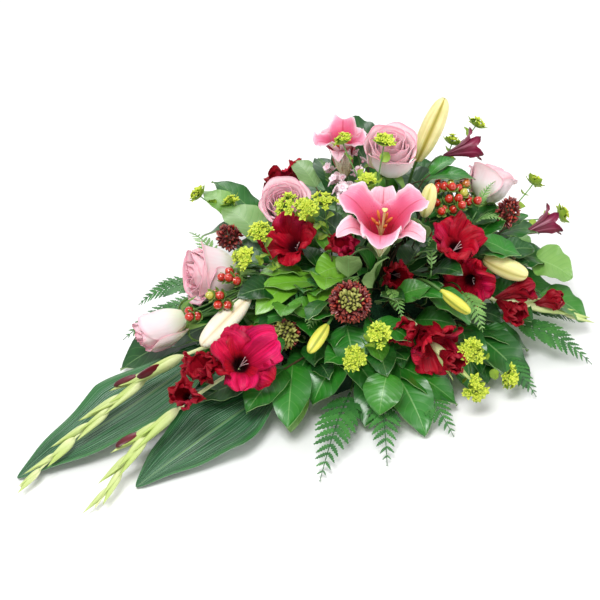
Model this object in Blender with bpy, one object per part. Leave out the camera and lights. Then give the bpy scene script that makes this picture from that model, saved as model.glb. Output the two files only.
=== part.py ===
"""A flower sheaf: a low tray of floral foam that carries roses, lilies, gladioli, berries, fern and leaves.

Metres, +Z up. The origin is the centre of the tray's underside, on the table. The long tail points along -X.
Every stem runs from a foot inside the foam, through a hole of its own, to the head or leaves that it carries.
"""

import math

import bmesh
import bpy
from mathutils import Matrix, Vector

# The holder
TRAY_LENGTH = 0.254
TRAY_WIDTH = 0.134
TRAY_HEIGHT = 0.020
TRAY_WALL = 0.002
TRAY_CORNER = 0.014
TRAY_CORNER_STEPS = 3
FOAM_LENGTH = 0.230
FOAM_WIDTH = 0.110
FOAM_TOP = 0.086
FOAM_CORNER = 0.010
FIT_GAP = 0.0004

# Stems: how deep they stand in the foam, and where their curve starts above it
STEM_DEPTH = 0.024
GATE = 0.004
STEM_SIDES = 4
SLIM_SIDES = 3
ROSE_STEM = 0.0024
LILY_STEM = 0.0028
GLADIOLUS_STEM = 0.0032
SLIM_STEM = 0.0016
FINE_STEM = 0.0012

# Petals and leaves
LEAF_THICKNESS = 0.0009
PETAL_THICKNESS = 0.0009
FROND_THICKNESS = 0.0008

# Heads at full size
ROSE_RADIUS = 0.033
ROSE_HEIGHT = 0.056
LILY_RADIUS = 0.064
LILY_HEIGHT = 0.060
FLORET_RADIUS = 0.039
FLORET_HEIGHT = 0.046
BERRY_LENGTH = 0.011
BERRY_RADIUS = 0.0047
BERRY_SIDES = 4

BRACT_LENGTH = 0.060
BRACT_RADIUS = 0.0056
BRACT_SPREAD = 0.26
BRACT_RISE = 0.08
FERN_RIB = 0.0011
LEAF_STALK = 0.0011
LEAF_FOLD = 0.22
ASPIDISTRA_WIDTH = 0.104
ASPIDISTRA_ROWS = 7
ASPIDISTRA_PLEAT = 0.0012

# Leaf outlines: (share of the length, share of the half width) for each row between the stalk and the tip
OVATE = ((0.34, 0.95), (0.68, 0.86))
LANCE = ((0.40, 1.0),)
FLAT_ANGLE = math.radians(0.05)
EDGE_WAVE = 0.15
SMOOTH_ANGLE = math.radians(35)

COLOURS = {
    "tray": ((0.02, 0.06, 0.03), 0.45),
    "foam": ((0.05, 0.16, 0.08), 0.95),
    "rose": ((0.90, 0.62, 0.66), 0.55),
    "lily": ((0.85, 0.30, 0.42), 0.5),
    "lily_bud": ((0.80, 0.78, 0.45), 0.5),
    "gladiolus": ((0.45, 0.01, 0.03), 0.5),
    "gladiolus_spike": ((0.60, 0.72, 0.35), 0.5),
    "alstroemeria": ((0.30, 0.02, 0.08), 0.5),
    "berry": ((0.55, 0.04, 0.02), 0.25),
    "skimmia": ((0.25, 0.04, 0.03), 0.6),
    "bupleurum": ((0.60, 0.70, 0.08), 0.6),
    "waxflower": ((0.85, 0.55, 0.62), 0.5),
    "aspidistra": ((0.03, 0.16, 0.06), 0.4),
    "fern": ((0.05, 0.22, 0.05), 0.5),
    "salal": ((0.04, 0.20, 0.04), 0.35),
}


def direction(heading, rise):
    """Unit vector for a compass heading from +X towards +Y and a rise above the table, in degrees."""
    h, r = math.radians(heading), math.radians(rise)
    return Vector((math.cos(h) * math.cos(r), math.sin(h) * math.cos(r), math.sin(r)))


def facing(at, heading, rise, roll=0.0):
    """Places a head at a point: its own +Z turns to the heading and rise, then it rolls about that axis."""
    turn = direction(heading, rise).to_track_quat("Z", "Y").to_matrix().to_4x4()
    return Matrix.Translation(Vector(at)) @ turn @ Matrix.Rotation(math.radians(roll), 4, "Z")


def moved(shell, matrix):
    points, faces = shell
    return [matrix @ p for p in points], faces


def bezier(start, lift, pull, end, count):
    """Points along a cubic curve from start to end."""
    found = []
    for i in range(count):
        t = i / (count - 1)
        s = 1 - t
        found.append(start * s**3 + lift * (3 * s * s * t) + pull * (3 * s * t * t) + end * t**3)
    return found


def along(path, share):
    """The point at a share of a path's length, and the direction of the path there."""
    lengths = [(b - a).length for a, b in zip(path, path[1:])]
    left = share * sum(lengths)
    for (a, b), length in zip(zip(path, path[1:]), lengths):
        if left <= length or b is path[-1]:
            return a.lerp(b, min(left / length, 1.0)), (b - a).normalized()
        left -= length


# Closed shells. Each is (points, faces) with its faces pointing out.


def tube(path, radii, sides=STEM_SIDES):
    """A closed tube along a path. A radius of 0 at an end makes a point there."""
    tangents = []
    for i in range(len(path)):
        tangents.append((path[min(i + 1, len(path) - 1)] - path[max(i - 1, 0)]).normalized())
    normal = tangents[0].orthogonal().normalized()
    points, rings, faces = [], [], []
    for place, tangent, radius in zip(path, tangents, radii):
        normal = (normal - tangent * normal.dot(tangent)).normalized()
        across = tangent.cross(normal)
        ring = []
        for k in range(sides if radius > 0 else 1):
            turn = 2 * math.pi * k / sides
            ring.append(len(points))
            points.append(place + (normal * math.cos(turn) + across * math.sin(turn)) * radius)
        rings.append(ring)
    for low, high in zip(rings, rings[1:]):
        for k in range(sides):
            a, b = low[k % len(low)], low[(k + 1) % len(low)]
            c, d = high[(k + 1) % len(high)], high[k % len(high)]
            faces += [(a, b, c)] * (a != b and b != c) + [(a, c, d)] * (a != d and c != d)
    if len(rings[0]) > 1:
        faces += [(rings[0][0], rings[0][k + 1], rings[0][k]) for k in range(1, sides - 1)]
    if len(rings[-1]) > 1:
        faces += [(rings[-1][0], rings[-1][k], rings[-1][k + 1]) for k in range(1, sides - 1)]
    return points, faces


def lathe(profile, sides, rib_count=0, rib_depth=0.0):
    """A closed body turned about Z from (height, radius) pairs that start and end on the axis, with ribs."""
    points, rings, faces = [], [], []
    for height, radius in profile:
        ring = []
        for k in range(sides if radius > 0 else 1):
            turn = 2 * math.pi * k / sides
            r = radius * (1 + rib_depth * math.cos(rib_count * turn))
            ring.append(len(points))
            points.append(Vector((r * math.cos(turn), r * math.sin(turn), height)))
        rings.append(ring)
    for low, high in zip(rings, rings[1:]):
        for k in range(sides):
            a, b = low[k % len(low)], low[(k + 1) % len(low)]
            c, d = high[(k + 1) % len(high)], high[k % len(high)]
            faces += [(a, b, c)] * (a != b and b != c) + [(a, c, d)] * (a != d and c != d)
    return points, faces


def blade(rows, thickness):
    """A thin closed sheet through rows of points, each row running across it, split alike on both faces."""
    n, m = len(rows), len(rows[0])
    over, under = [], []
    for i in range(n):
        for j in range(m):
            length = rows[min(i + 1, n - 1)][j] - rows[max(i - 1, 0)][j]
            width = rows[i][min(j + 1, m - 1)] - rows[i][max(j - 1, 0)]
            lift = width.cross(length).normalized() * (thickness / 2)
            over.append(rows[i][j] + lift)
            under.append(rows[i][j] - lift)
    faces = []

    def top(i, j):
        return i * m + j

    def low(i, j):
        return n * m + i * m + j

    for i in range(n - 1):
        for j in range(m - 1):
            a, b, c, d = (i, j), (i, j + 1), (i + 1, j + 1), (i + 1, j)
            for p, q, r in ((a, b, c), (a, c, d)):
                faces.append((top(*p), top(*q), top(*r)))
                faces.append((low(*p), low(*r), low(*q)))
    rim = [(0, j) for j in range(m)] + [(i, m - 1) for i in range(1, n)]
    rim += [(n - 1, j) for j in range(m - 2, -1, -1)] + [(i, 0) for i in range(n - 2, 0, -1)]
    for p, q in zip(rim, rim[1:] + rim[:1]):
        faces += [(top(*q), top(*p), low(*p)), (top(*q), low(*p), low(*q))]
    return over + under, faces


def star(radius, dip, points_round, height):
    """A small star-shaped floret: a double cone with pointed lobes."""
    points = [Vector((0, 0, -height / 2)), Vector((0, 0, height / 2))]
    for k in range(2 * points_round):
        turn = math.pi * k / points_round
        r = radius if k % 2 == 0 else radius * dip
        points.append(Vector((r * math.cos(turn), r * math.sin(turn), 0)))
    faces = []
    for k in range(2 * points_round):
        a, b = 2 + k, 2 + (k + 1) % (2 * points_round)
        faces += [(1, a, b), (0, b, a)]
    return points, faces


# Joining shells into one body


def mesh_object(name, shell):
    points, faces = shell
    mesh = bpy.data.meshes.new(name)
    mesh.from_pydata([tuple(p) for p in points], [], faces)
    return bpy.data.objects.new(name, mesh)


def combine(base, shells, operation="UNION"):
    """One applied Boolean of a base object with a collection of shells, which are then removed.

    The MANIFOLD solver is used because EXACT leaves open edges where so many thin petals and leaves cross.
    """
    group = bpy.data.collections.new("shells")
    bpy.context.scene.collection.children.link(group)
    for shell in shells:
        group.objects.link(mesh_object("shell", shell))
    modifier = base.modifiers.new("combine", "BOOLEAN")
    modifier.operation = operation
    modifier.operand_type = "COLLECTION"
    modifier.collection = group
    modifier.solver = "MANIFOLD"
    graph = bpy.context.evaluated_depsgraph_get()
    joined = bpy.data.meshes.new_from_object(base.evaluated_get(graph))
    base.modifiers.clear()
    tidy_body(joined)
    base.data = joined
    for obj in list(group.objects):
        bpy.data.objects.remove(obj)
    bpy.data.collections.remove(group)


def tidy_body(mesh):
    """Keeps the one outer skin, without sealed hollows or scraps, and merges flat scraps of its faces."""
    whole = bmesh.new()
    whole.from_mesh(mesh)
    skins, seen = [], set()
    for first in whole.verts:
        if first in seen:
            continue
        seen.add(first)
        skin = [first]
        for v in skin:
            for w in (e.other_vert(v) for e in v.link_edges):
                if w not in seen:
                    seen.add(w)
                    skin.append(w)
        skins.append(skin)
    skins.sort(key=len)
    loose = [v for skin in skins[:-1] for v in skin]
    bmesh.ops.delete(whole, geom=loose, context="VERTS")
    bmesh.ops.dissolve_limit(whole, angle_limit=FLAT_ANGLE, verts=whole.verts, edges=whole.edges)
    bmesh.ops.triangulate(whole, faces=whole.faces)
    whole.to_mesh(mesh)
    whole.free()


def material(name):
    if name in bpy.data.materials:
        return bpy.data.materials[name]
    colour, roughness = COLOURS[name]
    made = bpy.data.materials.new(name)
    made.use_nodes = True
    shader = made.node_tree.nodes["Principled BSDF"]
    shader.inputs["Base Color"].default_value = (*colour, 1)
    shader.inputs["Roughness"].default_value = roughness
    made.diffuse_color = (*colour, 1)
    return made


def node(name, finish, shells):
    """One named solid: the first shell with all the others fused to it."""
    obj = mesh_object(name, shells[0])
    bpy.context.scene.collection.objects.link(obj)
    if len(shells) > 1:
        combine(obj, shells[1:])
    finished(obj, finish)


def finished(obj, finish):
    obj.data.materials.clear()
    obj.data.materials.append(material(finish))
    obj.data.shade_smooth()
    obj.data.set_sharp_from_angle(angle=SMOOTH_ANGLE)


# Stems


STEM_HOLES = []


def bedding(enters):
    """The direction of a stem where it goes into the foam: square to it, leaning out towards its edges."""
    lean = Vector((2 * enters.x / FOAM_LENGTH, 2 * enters.y / FOAM_WIDTH, enters.z / FOAM_TOP))
    return Vector((lean.x**3, lean.y**3, lean.z**3)).normalized()


def stem_path(enters, base, arrives, pull=0.35, count=4):
    """From a foot in the foam, straight out through its hole, then in a curve to a head's base."""
    enters, base = Vector(enters), Vector(base)
    out = bedding(enters)
    gate = enters + out * GATE
    reach = (base - gate).length
    curve = bezier(gate, gate + out * reach * 0.3, base - arrives * reach * pull, base, count)
    return [enters - out * STEM_DEPTH] + curve


def route(enters, *places):
    """From a foot in the foam, straight out through its hole, then smoothly through places chosen by hand."""
    enters = Vector(enters)
    out = bedding(enters)
    knots = [enters + out * GATE] + [Vector(p) for p in places]
    found = [enters - out * STEM_DEPTH]
    for i in range(len(knots) - 1):
        a, b = knots[i], knots[i + 1]
        reach = (b - a).length
        before = out if i == 0 else (b - knots[i - 1]).normalized()
        after = (knots[i + 2] - a).normalized() if i + 2 < len(knots) else (b - a).normalized()
        piece = bezier(a, a + before * reach * 0.33, b - after * reach * 0.33, b, 3)
        found += piece if i == 0 else piece[1:]
    return found


def stem(path, radius, end_radius=None):
    """A stem along a path that starts in the foam. Its hole there is noted for later."""
    end_radius = end_radius or radius
    radii = [radius + (end_radius - radius) * i / (len(path) - 1) for i in range(len(path))]
    down = (path[0] - path[1]).normalized()
    hole = [path[0] + down * FIT_GAP, path[1]]
    sides = STEM_SIDES if radius > SLIM_STEM else SLIM_SIDES
    STEM_HOLES.append(tube(hole, [radius + FIT_GAP * 1.5] * 2, sides))
    return tube(path, [radius] + radii[1:], sides)


# Species


def petal_shell(rows, half_angle, middle, spiral, drop):
    """A rose petal on (height, radius) rows round +Z. Its root is narrow, and one edge stands further out."""
    over = []
    for i, (height, radius) in enumerate(rows):
        cols = 1 if i == 0 else 3
        spread = half_angle * (0.40 if i == 0 else 1.0 if i == 1 else 0.92)
        for j in range(cols + 1):
            w = 2 * j / cols - 1
            turn = middle - spread * w
            r = radius + spiral * (w + 1) / 2
            sag = drop * abs(w) ** 3 if i == 2 else 0
            over.append(Vector((r * math.cos(turn), r * math.sin(turn), height - sag)))
    faces = [(0, 3, 2), (0, 4, 3), (0, 1, 4), (1, 5, 4)]
    for k in (2, 3, 4):
        faces += [(k, k + 1, k + 5), (k, k + 5, k + 4)]
    return thick_sheet(over, faces, PETAL_THICKNESS)


def rose_shells(opening):
    """A rose head on its own +Z, base at the origin: a core, three inner petals and five outer ones."""
    r, h = ROSE_RADIUS, ROSE_HEIGHT
    wide = 0.74 + 0.26 * opening
    shells = [lathe([(-0.08 * h, 0), (0.02 * h, 0.34 * r), (0.42 * h, 0.60 * r), (0.94 * h, 0)], 5)]
    inner = [(0.32 * h, 0.44 * r), (0.66 * h, 0.74 * wide * r), (0.99 * h, (0.46 + 0.24 * opening) * r)]
    for k in range(3):
        shells.append(petal_shell(inner, math.radians(66), 2 * math.pi * k / 3 + 0.4, 0.15 * r, 0.10 * h))
    lip = 0.92 + 0.22 * opening
    outer = [(0.10 * h, 0.34 * r), (0.50 * h, 0.95 * wide * r), (0.97 * h, lip * wide * r)]
    for k in range(5):
        shells.append(petal_shell(outer, math.radians(42), 2 * math.pi * k / 5, 0.16 * r, 0.12 * h))
    return shells


def corolla(rim, tepals, lobes):
    """A flower's funnel and its free tepals as one thin sheet round +Z, with the funnel's foot at the origin.

    rim is the (height, radius) of the ring where the tepals part. lobes holds for the two whorls in turn the
    (height, radius, half width, lift of the edges) of the rows that follow, the last of them the tip.
    """
    height, radius = rim
    over, faces = [Vector((0, 0, -0.002))], []
    for k in range(2 * tepals):
        turn = math.pi * (k - 1) / tepals
        r = radius * (1.0 if k % 2 else 0.93)
        over.append(Vector((r * math.cos(turn), r * math.sin(turn), height)))

    def ring(k):
        return 1 + k % (2 * tepals)

    faces += [(0, ring(k), ring(k + 1)) for k in range(2 * tepals)]
    for k in range(tepals):
        turn = 2 * math.pi * k / tepals
        out = Vector((math.cos(turn), math.sin(turn), 0))
        side = Vector((math.sin(turn), -math.cos(turn), 0))
        last = (ring(2 * k), ring(2 * k + 1), ring(2 * k + 2))
        for n, (z, r, half, lift) in enumerate(lobes[k % 2]):
            place = out * r + Vector((0, 0, z))
            if half == 0:
                over.append(place)
                faces += [(last[0], len(over) - 1, last[1]), (last[1], len(over) - 1, last[2])]
                continue
            wave = Vector((0, 0, EDGE_WAVE * half * (1 if (k + n) % 3 else -1)))
            rise = Vector((0, 0, lift))
            over += [place + side * half + rise + wave, place, place - side * half + rise - wave]
            row = (len(over) - 3, len(over) - 2, len(over) - 1)
            faces += [(last[0], row[0], row[1]), (last[0], row[1], last[1])]
            faces += [(last[1], row[1], row[2]), (last[1], row[2], last[2])]
            last = row
    return thick_sheet(over, faces, PETAL_THICKNESS)


def thick_sheet(over, faces, thickness):
    """A thin closed solid from a sheet of triangles, offset to both sides and walled along its rim."""
    normals = [Vector() for _ in over]
    for a, b, c in faces:
        n = (over[b] - over[a]).cross(over[c] - over[a])
        for k in (a, b, c):
            normals[k] += n
    lift = [n.normalized() * (thickness / 2) for n in normals]
    count = len(over)
    solid = list(faces) + [(c + count, b + count, a + count) for a, b, c in faces]
    edges = {(a, b) for f in faces for a, b in zip(f, f[1:] + f[:1])}
    for a, b in sorted(edges):
        if (b, a) not in edges:
            solid += [(b, a, a + count), (b, a + count, b + count)]
    return [p + n for p, n in zip(over, lift)] + [p - n for p, n in zip(over, lift)], solid


def lily_shells(size, opening):
    """An open lily on its own +Z, base at the origin, with stamens and a pistil."""
    r, h = LILY_RADIUS * size * opening, LILY_HEIGHT * size * (1.3 - 0.3 * opening)
    wide, slim = 0.0215 * size * (0.5 + 0.5 * opening), 0.0150 * size * (0.5 + 0.5 * opening)
    inner = [(0.74 * h, 0.30 * r, 0.85 * wide, 0.004), (0.97 * h, 0.62 * r, wide, 0.004), (0.98 * h, r, 0, 0)]
    outer = [(0.66 * h, 0.30 * r, 0.85 * slim, 0.0), (0.88 * h, 0.64 * r, slim, 0.0), (0.84 * h, r, 0, 0)]
    shells = [corolla((0.36 * h, 0.0105 * size), 6, (inner, outer))]
    points, faces = [Vector((0, 0, 0.16 * h)), Vector((0, 0, 0.34 * h))], []
    for k in range(12):
        turn = math.pi * k / 6 + 0.5
        reach, height = (0.20 * r, 0.94 * h) if k % 2 == 0 else (0.0018, 0.26 * h)
        points.append(Vector((reach * math.cos(turn), reach * math.sin(turn), height)))
        here, there = 2 + k, 2 + (k + 1) % 12
        faces += [(1, here, there), (0, there, here)]
    shells.append((points, faces))
    shells.append(tube([Vector((0, 0, -0.002)), Vector((0, 0, 1.06 * h))], [0.0012, 0.0022], 4))
    return shells


def floret_shells(size, opening):
    """A gladiolus floret: a funnel that opens to broad waved tepals, or to three while it is half open."""
    r, h = FLORET_RADIUS * size * opening, FLORET_HEIGHT * size
    if opening < 0.7:
        lobe = [(1.0 * h, 1.1 * r, 0, 0)]
        return [corolla((0.66 * h, 0.62 * r), 3, (lobe, lobe))]
    wide = 0.0165 * size * (0.45 + 0.55 * opening)
    inner = [(0.86 * h, 0.66 * r, wide, 0.002), (0.98 * h, r, 0, 0)]
    outer = [(0.80 * h, 0.66 * r, 0.82 * wide, -0.001), (0.90 * h, 0.97 * r, 0, 0)]
    return [corolla((0.52 * h, 0.30 * r), 6, (inner, outer))]


def alstroemeria_shells(size):
    """A narrow lily-like bloom with pointed tepals."""
    inner = [(0.044 * size, 0.012 * size, 0.0055 * size, 0.001), (0.058 * size, 0.025 * size, 0, 0)]
    outer = [(0.042 * size, 0.014 * size, 0.0062 * size, 0.001), (0.052 * size, 0.030 * size, 0, 0)]
    return [corolla((0.024 * size, 0.0068 * size), 6, (inner, outer))]


def bud_shell(length, radius, sides=6):
    """A lily bud: a long spindle with three ridges."""
    profile = [(0, 0), (0.06, 0.42), (0.30, 0.88), (0.62, 1.0), (0.90, 0.58), (1, 0)]
    return lathe([(h * length, r * radius) for h, r in profile], sides, 3, 0.12)


def berry_on_stalk(start, end, out):
    """A berry with its stalk, as one tube that swells at the end."""
    bare = start.lerp(end, 0.12)
    middle = end + out * BERRY_LENGTH * 0.45
    places = [start, bare, end, middle, end + out * BERRY_LENGTH]
    return tube(places, [0, 0.0010, 0.0012, BERRY_RADIUS, 0], BERRY_SIDES)


def leaf_shell(base, tip, width, arch, roll, shape):
    """A leaf as one thin sheet from its foot on a stem to its tip, folded along its rib, with waved edges."""
    chord = tip - base
    length = chord.length
    y = chord / length
    side = y.cross(Vector((0, 0, 1)))
    side = side.normalized() if side.length > 0.05 else Vector((1, 0, 0))
    side = Matrix.Rotation(math.radians(roll), 3, y) @ side
    up = side.cross(y)
    over = [base - side * LEAF_STALK, base + side * LEAF_STALK]
    last, faces = (0, None, 1), []
    for n, (share, half) in enumerate(shape):
        centre = base + y * length * share + up * arch * 4 * share * (1 - share)
        reach = side * width / 2 * half
        edge = up * width / 2 * half * LEAF_FOLD
        wave = up * width * 0.05 * (1 if n % 2 else -1)
        over += [centre - reach + edge + wave, centre, centre + reach + edge - wave]
        row = (len(over) - 3, len(over) - 2, len(over) - 1)
        if n == 0:
            faces += [(last[0], row[1], row[0]), (last[0], last[2], row[1]), (last[2], row[2], row[1])]
        else:
            faces += [(last[0], row[1], row[0]), (last[0], last[1], row[1])]
            faces += [(last[1], row[2], row[1]), (last[1], last[2], row[2])]
        last = row
    over.append(tip)
    faces += [(last[0], last[1], len(over) - 1), (last[1], last[2], len(over) - 1)]
    return thick_sheet(over, faces, LEAF_THICKNESS)


def stem_leaves(path, leaves, shape):
    """Leaves on a flower's own stem, each by its share of the stem, heading, rise, length and width."""
    shells = []
    for share, heading, rise, length, width in leaves:
        base = along(path, share)[0]
        tip = base + direction(heading, rise) * length
        shells.append(leaf_shell(base, tip, width, 0.10 * length, 0, shape))
    return shells


def frond_shell(base, tip, width, arch, roll, pairs, bare=0.12):
    """A fern frond as one thin arched sheet cut to the rib: leaflets in pairs, longest near the foot."""
    chord = tip - base
    length = chord.length
    y = chord / length
    side = Matrix.Rotation(math.radians(roll), 3, y) @ y.cross(Vector((0, 0, 1))).normalized()
    up = side.cross(y)

    def place(u, across):
        t = min(u, 1.0)
        return base + y * length * u + side * across + up * (arch * 4 * t * (1 - t) - 0.12 * abs(across))

    step = (1 - bare) / (pairs + 0.4)
    stations = [0.0] + [bare + step * k for k in range(pairs + 1)] + [1.0]
    count = len(stations)
    points = [place(u, -FERN_RIB) for u in stations] + [place(u, FERN_RIB) for u in stations]
    faces = []
    for n in range(count - 1):
        faces += [(n, count + n, count + n + 1), (n, count + n + 1, n + 1)]
    for k in range(1, pairs + 1):
        t = (stations[k] - bare) / (1 - bare)
        reach = width / 2 * (1 - t) ** 0.7 * (0.72 + 0.28 * min(t * 5, 1))
        lean = 0.34 * reach / length
        for hand, first in ((1, count), (-1, 0)):
            points.append(place((stations[k] + stations[k + 1]) / 2 + lean, hand * reach))
            end = len(points) - 1
            near, far = first + k, first + k + 1
            faces.append((near, end, far) if hand == 1 else (near, far, end))
    return thick_sheet(points, faces, FROND_THICKNESS)


def skimmia_shell(radius, stretch, fine):
    """A dense head of small pointed buds: each face of a ball raised to a bud."""
    ball = bmesh.new()
    bmesh.ops.create_icosphere(ball, subdivisions=2 if fine else 1, radius=radius * 0.80)
    bmesh.ops.poke(ball, faces=ball.faces[:])
    points = []
    for v in ball.verts:
        is_bud = len(v.link_faces) == 3
        p = v.co.normalized() * radius * (1.0 if is_bud else 0.74)
        points.append(Vector((p.x, p.y, p.z * stretch)))
    faces = [tuple(v.index for v in f.verts) for f in ball.faces]
    ball.free()
    return points, faces


def umbel_shell(start, at, radius, count):
    """A bupleurum umbel with its stalk: rays that rise from a hub, each widened to a pointed floret."""
    out = ((at - start).normalized() + Vector((0, 0, 0.35))).normalized()
    across = out.orthogonal().normalized()
    up = out.cross(across)
    over, faces = [at + out * 0.001], []
    for k in range(count):
        turn = math.pi * (2 * k - 1) / count
        over.append(at + (across * math.cos(turn) + up * math.sin(turn)) * 0.0017)
    for k in range(count):
        turn = 2 * math.pi * k / count
        ray = across * math.cos(turn) + up * math.sin(turn) + out * (0.75 if k % 2 else 0.35)
        ray *= radius * (0.9 if k % 2 else 1.0)
        side = (up * math.cos(turn) - across * math.sin(turn)) * 0.0046
        over += [at + ray * 0.66 - side, at + ray * 0.66 + side, at + ray]
        left, right, tip = len(over) - 3, len(over) - 2, len(over) - 1
        a, b = 1 + k, 1 + (k + 1) % count
        faces += [(0, a, b), (a, left, right), (a, right, b), (left, tip, right)]
    points, solid = thick_sheet(over, faces, PETAL_THICKNESS)
    under = len(over)
    solid = [f for f in solid if under not in f]
    foot = len(points)
    for k in range(count):
        turn = math.pi * (2 * k - 1) / count
        points.append(start + (across * math.cos(turn) + up * math.sin(turn)) * 0.0009)
        a, b = under + 1 + k, under + 1 + (k + 1) % count
        c, d = foot + k, foot + (k + 1) % count
        solid += [(a, c, d), (a, d, b)]
    solid += [(foot, foot + k + 1, foot + k) for k in range(1, count - 1)]
    return points, solid


# Pieces of the arrangement. Each is given where its stem enters the foam and where its head stands.


def rose(name, enters, at, heading, rise, width=1.0, height=1.0, opening=0.8, roll=0.0, leaves=()):
    path = stem_path(enters, at, direction(heading, rise))
    place = facing(at, heading, rise, roll) @ Matrix.Diagonal((width, width, height, 1))
    head = [moved(s, place) for s in rose_shells(opening)]
    node(name, "rose", [stem(path, ROSE_STEM)] + head + stem_leaves(path, leaves, OVATE))


def lily(name, enters, at, heading, rise, size=1.0, opening=1.0, roll=0.0, leaves=()):
    path = stem_path(enters, at, direction(heading, rise))
    place = facing(at, heading, rise, roll)
    head = [moved(s, place) for s in lily_shells(size, opening)]
    node(name, "lily", [stem(path, LILY_STEM)] + head + stem_leaves(path, leaves, LANCE))


def lily_bud(name, enters, at, tip, radius, leaves=()):
    at, tip = Vector(at), Vector(tip)
    along_bud = tip - at
    path = stem_path(enters, at, along_bud.normalized())
    place = Matrix.Translation(at) @ along_bud.to_track_quat("Z", "Y").to_matrix().to_4x4()
    bud = bud_shell(along_bud.length, radius)
    path[-1] = path[-1] + along_bud.normalized() * 0.006
    shells = [stem(path, SLIM_STEM, 0.0018), moved(bud, place)]
    node(name, "lily_bud", shells + stem_leaves(path, leaves, LANCE))


def spike(name, enters, places, florets, buds, stem_radius=GLADIOLUS_STEM):
    """A gladiolus spike: open florets, then bracts in pairs towards the tip, each with a bud inside."""
    path = route(enters, *places)
    shells = [stem(path, stem_radius, 0.0010)]
    for share, heading, rise, size, opening in florets:
        place = facing(along(path, share)[0], heading, rise, 15)
        shells += [moved(s, place) for s in floret_shells(size, opening)]
    first, last, count = buds
    for k in range(count):
        share = first + (last - first) * k / max(count - 1, 1)
        at, ahead = along(path, share)
        side = ahead.cross(Vector((0, 0, 1))).normalized() * (1 if k % 2 else -1)
        small = 1.0 - 0.42 * k / max(count - 1, 1)
        out = (ahead + side * BRACT_SPREAD + Vector((0, 0, BRACT_RISE))).normalized()
        length = BRACT_LENGTH * small
        turn = Matrix.Translation(at - out * 0.002) @ out.to_track_quat("Z", "Y").to_matrix().to_4x4()
        bract = lathe([(0, 0), (0.38 * length, BRACT_RADIUS * small), (length, 0)], 3)
        shells.append(moved(bract, turn))
    node(name, "gladiolus_spike", shells)


def floret(name, enters, at, heading, rise, size=1.0, opening=1.0, roll=0.0):
    path = stem_path(enters, at, direction(heading, rise))
    place = facing(at, heading, rise, roll)
    node(name, "gladiolus", [stem(path, 0.0024)] + [moved(s, place) for s in floret_shells(size, opening)])


def alstroemeria(name, enters, at, heading, rise, size=1.0, roll=0.0, leaves=()):
    path = stem_path(enters, at, direction(heading, rise))
    place = facing(at, heading, rise, roll)
    head = [moved(s, place) for s in alstroemeria_shells(size)]
    node(name, "alstroemeria", [stem(path, SLIM_STEM)] + head + stem_leaves(path, leaves, LANCE))


def branching(path, fork_first, count):
    """Places for the branches near a stem's end, one for each, spread so that they part one after another."""
    return [along(path, fork_first + (0.985 - fork_first) * (k + 1) / count)[0] for k in range(count)]


def berries(name, enters, fork, ends, leaves=()):
    """A hypericum sprig: a twig that forks to berries, each on a short stalk."""
    fork = Vector(fork)
    middle = sum((Vector(e) for e in ends), Vector()) / len(ends)
    path = stem_path(enters, fork, (middle - fork).normalized())
    shells = [stem(path, SLIM_STEM, 0.0013)]
    for start, end in zip(branching(path, 0.72, len(ends)), ends):
        end = Vector(end)
        out = ((end - start).normalized() + Vector((0, 0, 0.3))).normalized()
        shells.append(berry_on_stalk(start, end, out))
    node(name, "berry", shells + stem_leaves(path, leaves, OVATE))


def skimmia(name, enters, at, heading, rise, radius, stretch, fine=False, leaves=()):
    """A skimmia head with its middle at a point."""
    facing_way = direction(heading, rise)
    foot = Vector(at) - facing_way * radius * stretch * 0.4
    path = stem_path(enters, foot, facing_way)
    place = facing(at, heading, rise)
    shells = [stem(path, SLIM_STEM), moved(skimmia_shell(radius, stretch, fine), place)]
    node(name, "skimmia", shells + stem_leaves(path, leaves, OVATE))


def bupleurum(name, enters, fork, umbels, radius=0.014, count=5):
    """A bupleurum spray: a stem that forks to umbels of pointed florets."""
    fork = Vector(fork)
    middle = sum((Vector(u) for u in umbels), Vector()) / len(umbels)
    path = stem_path(enters, fork, (middle - fork).normalized())
    shells = [stem(path, FINE_STEM)]
    for start, umbel in zip(branching(path, 0.8, len(umbels)), umbels):
        shells.append(umbel_shell(start, Vector(umbel), radius, count))
    node(name, "bupleurum", shells)


def waxflower(name, enters, fork, ends):
    fork = Vector(fork)
    middle = sum((Vector(e) for e in ends), Vector()) / len(ends)
    path = stem_path(enters, fork, (middle - fork).normalized())
    shells = [stem(path, FINE_STEM)]
    for start, end in zip(branching(path, 0.7, len(ends)), ends):
        end = Vector(end)
        out = (end - start).normalized()
        shells.append(tube([start, end + out * 0.001], [0.0009, 0.0008], 3))
        turn = Matrix.Translation(end) @ out.to_track_quat("Z", "Y").to_matrix().to_4x4()
        shells.append(moved(star(0.0060, 0.55, 4, 0.003), turn))
    node(name, "waxflower", shells)


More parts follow.
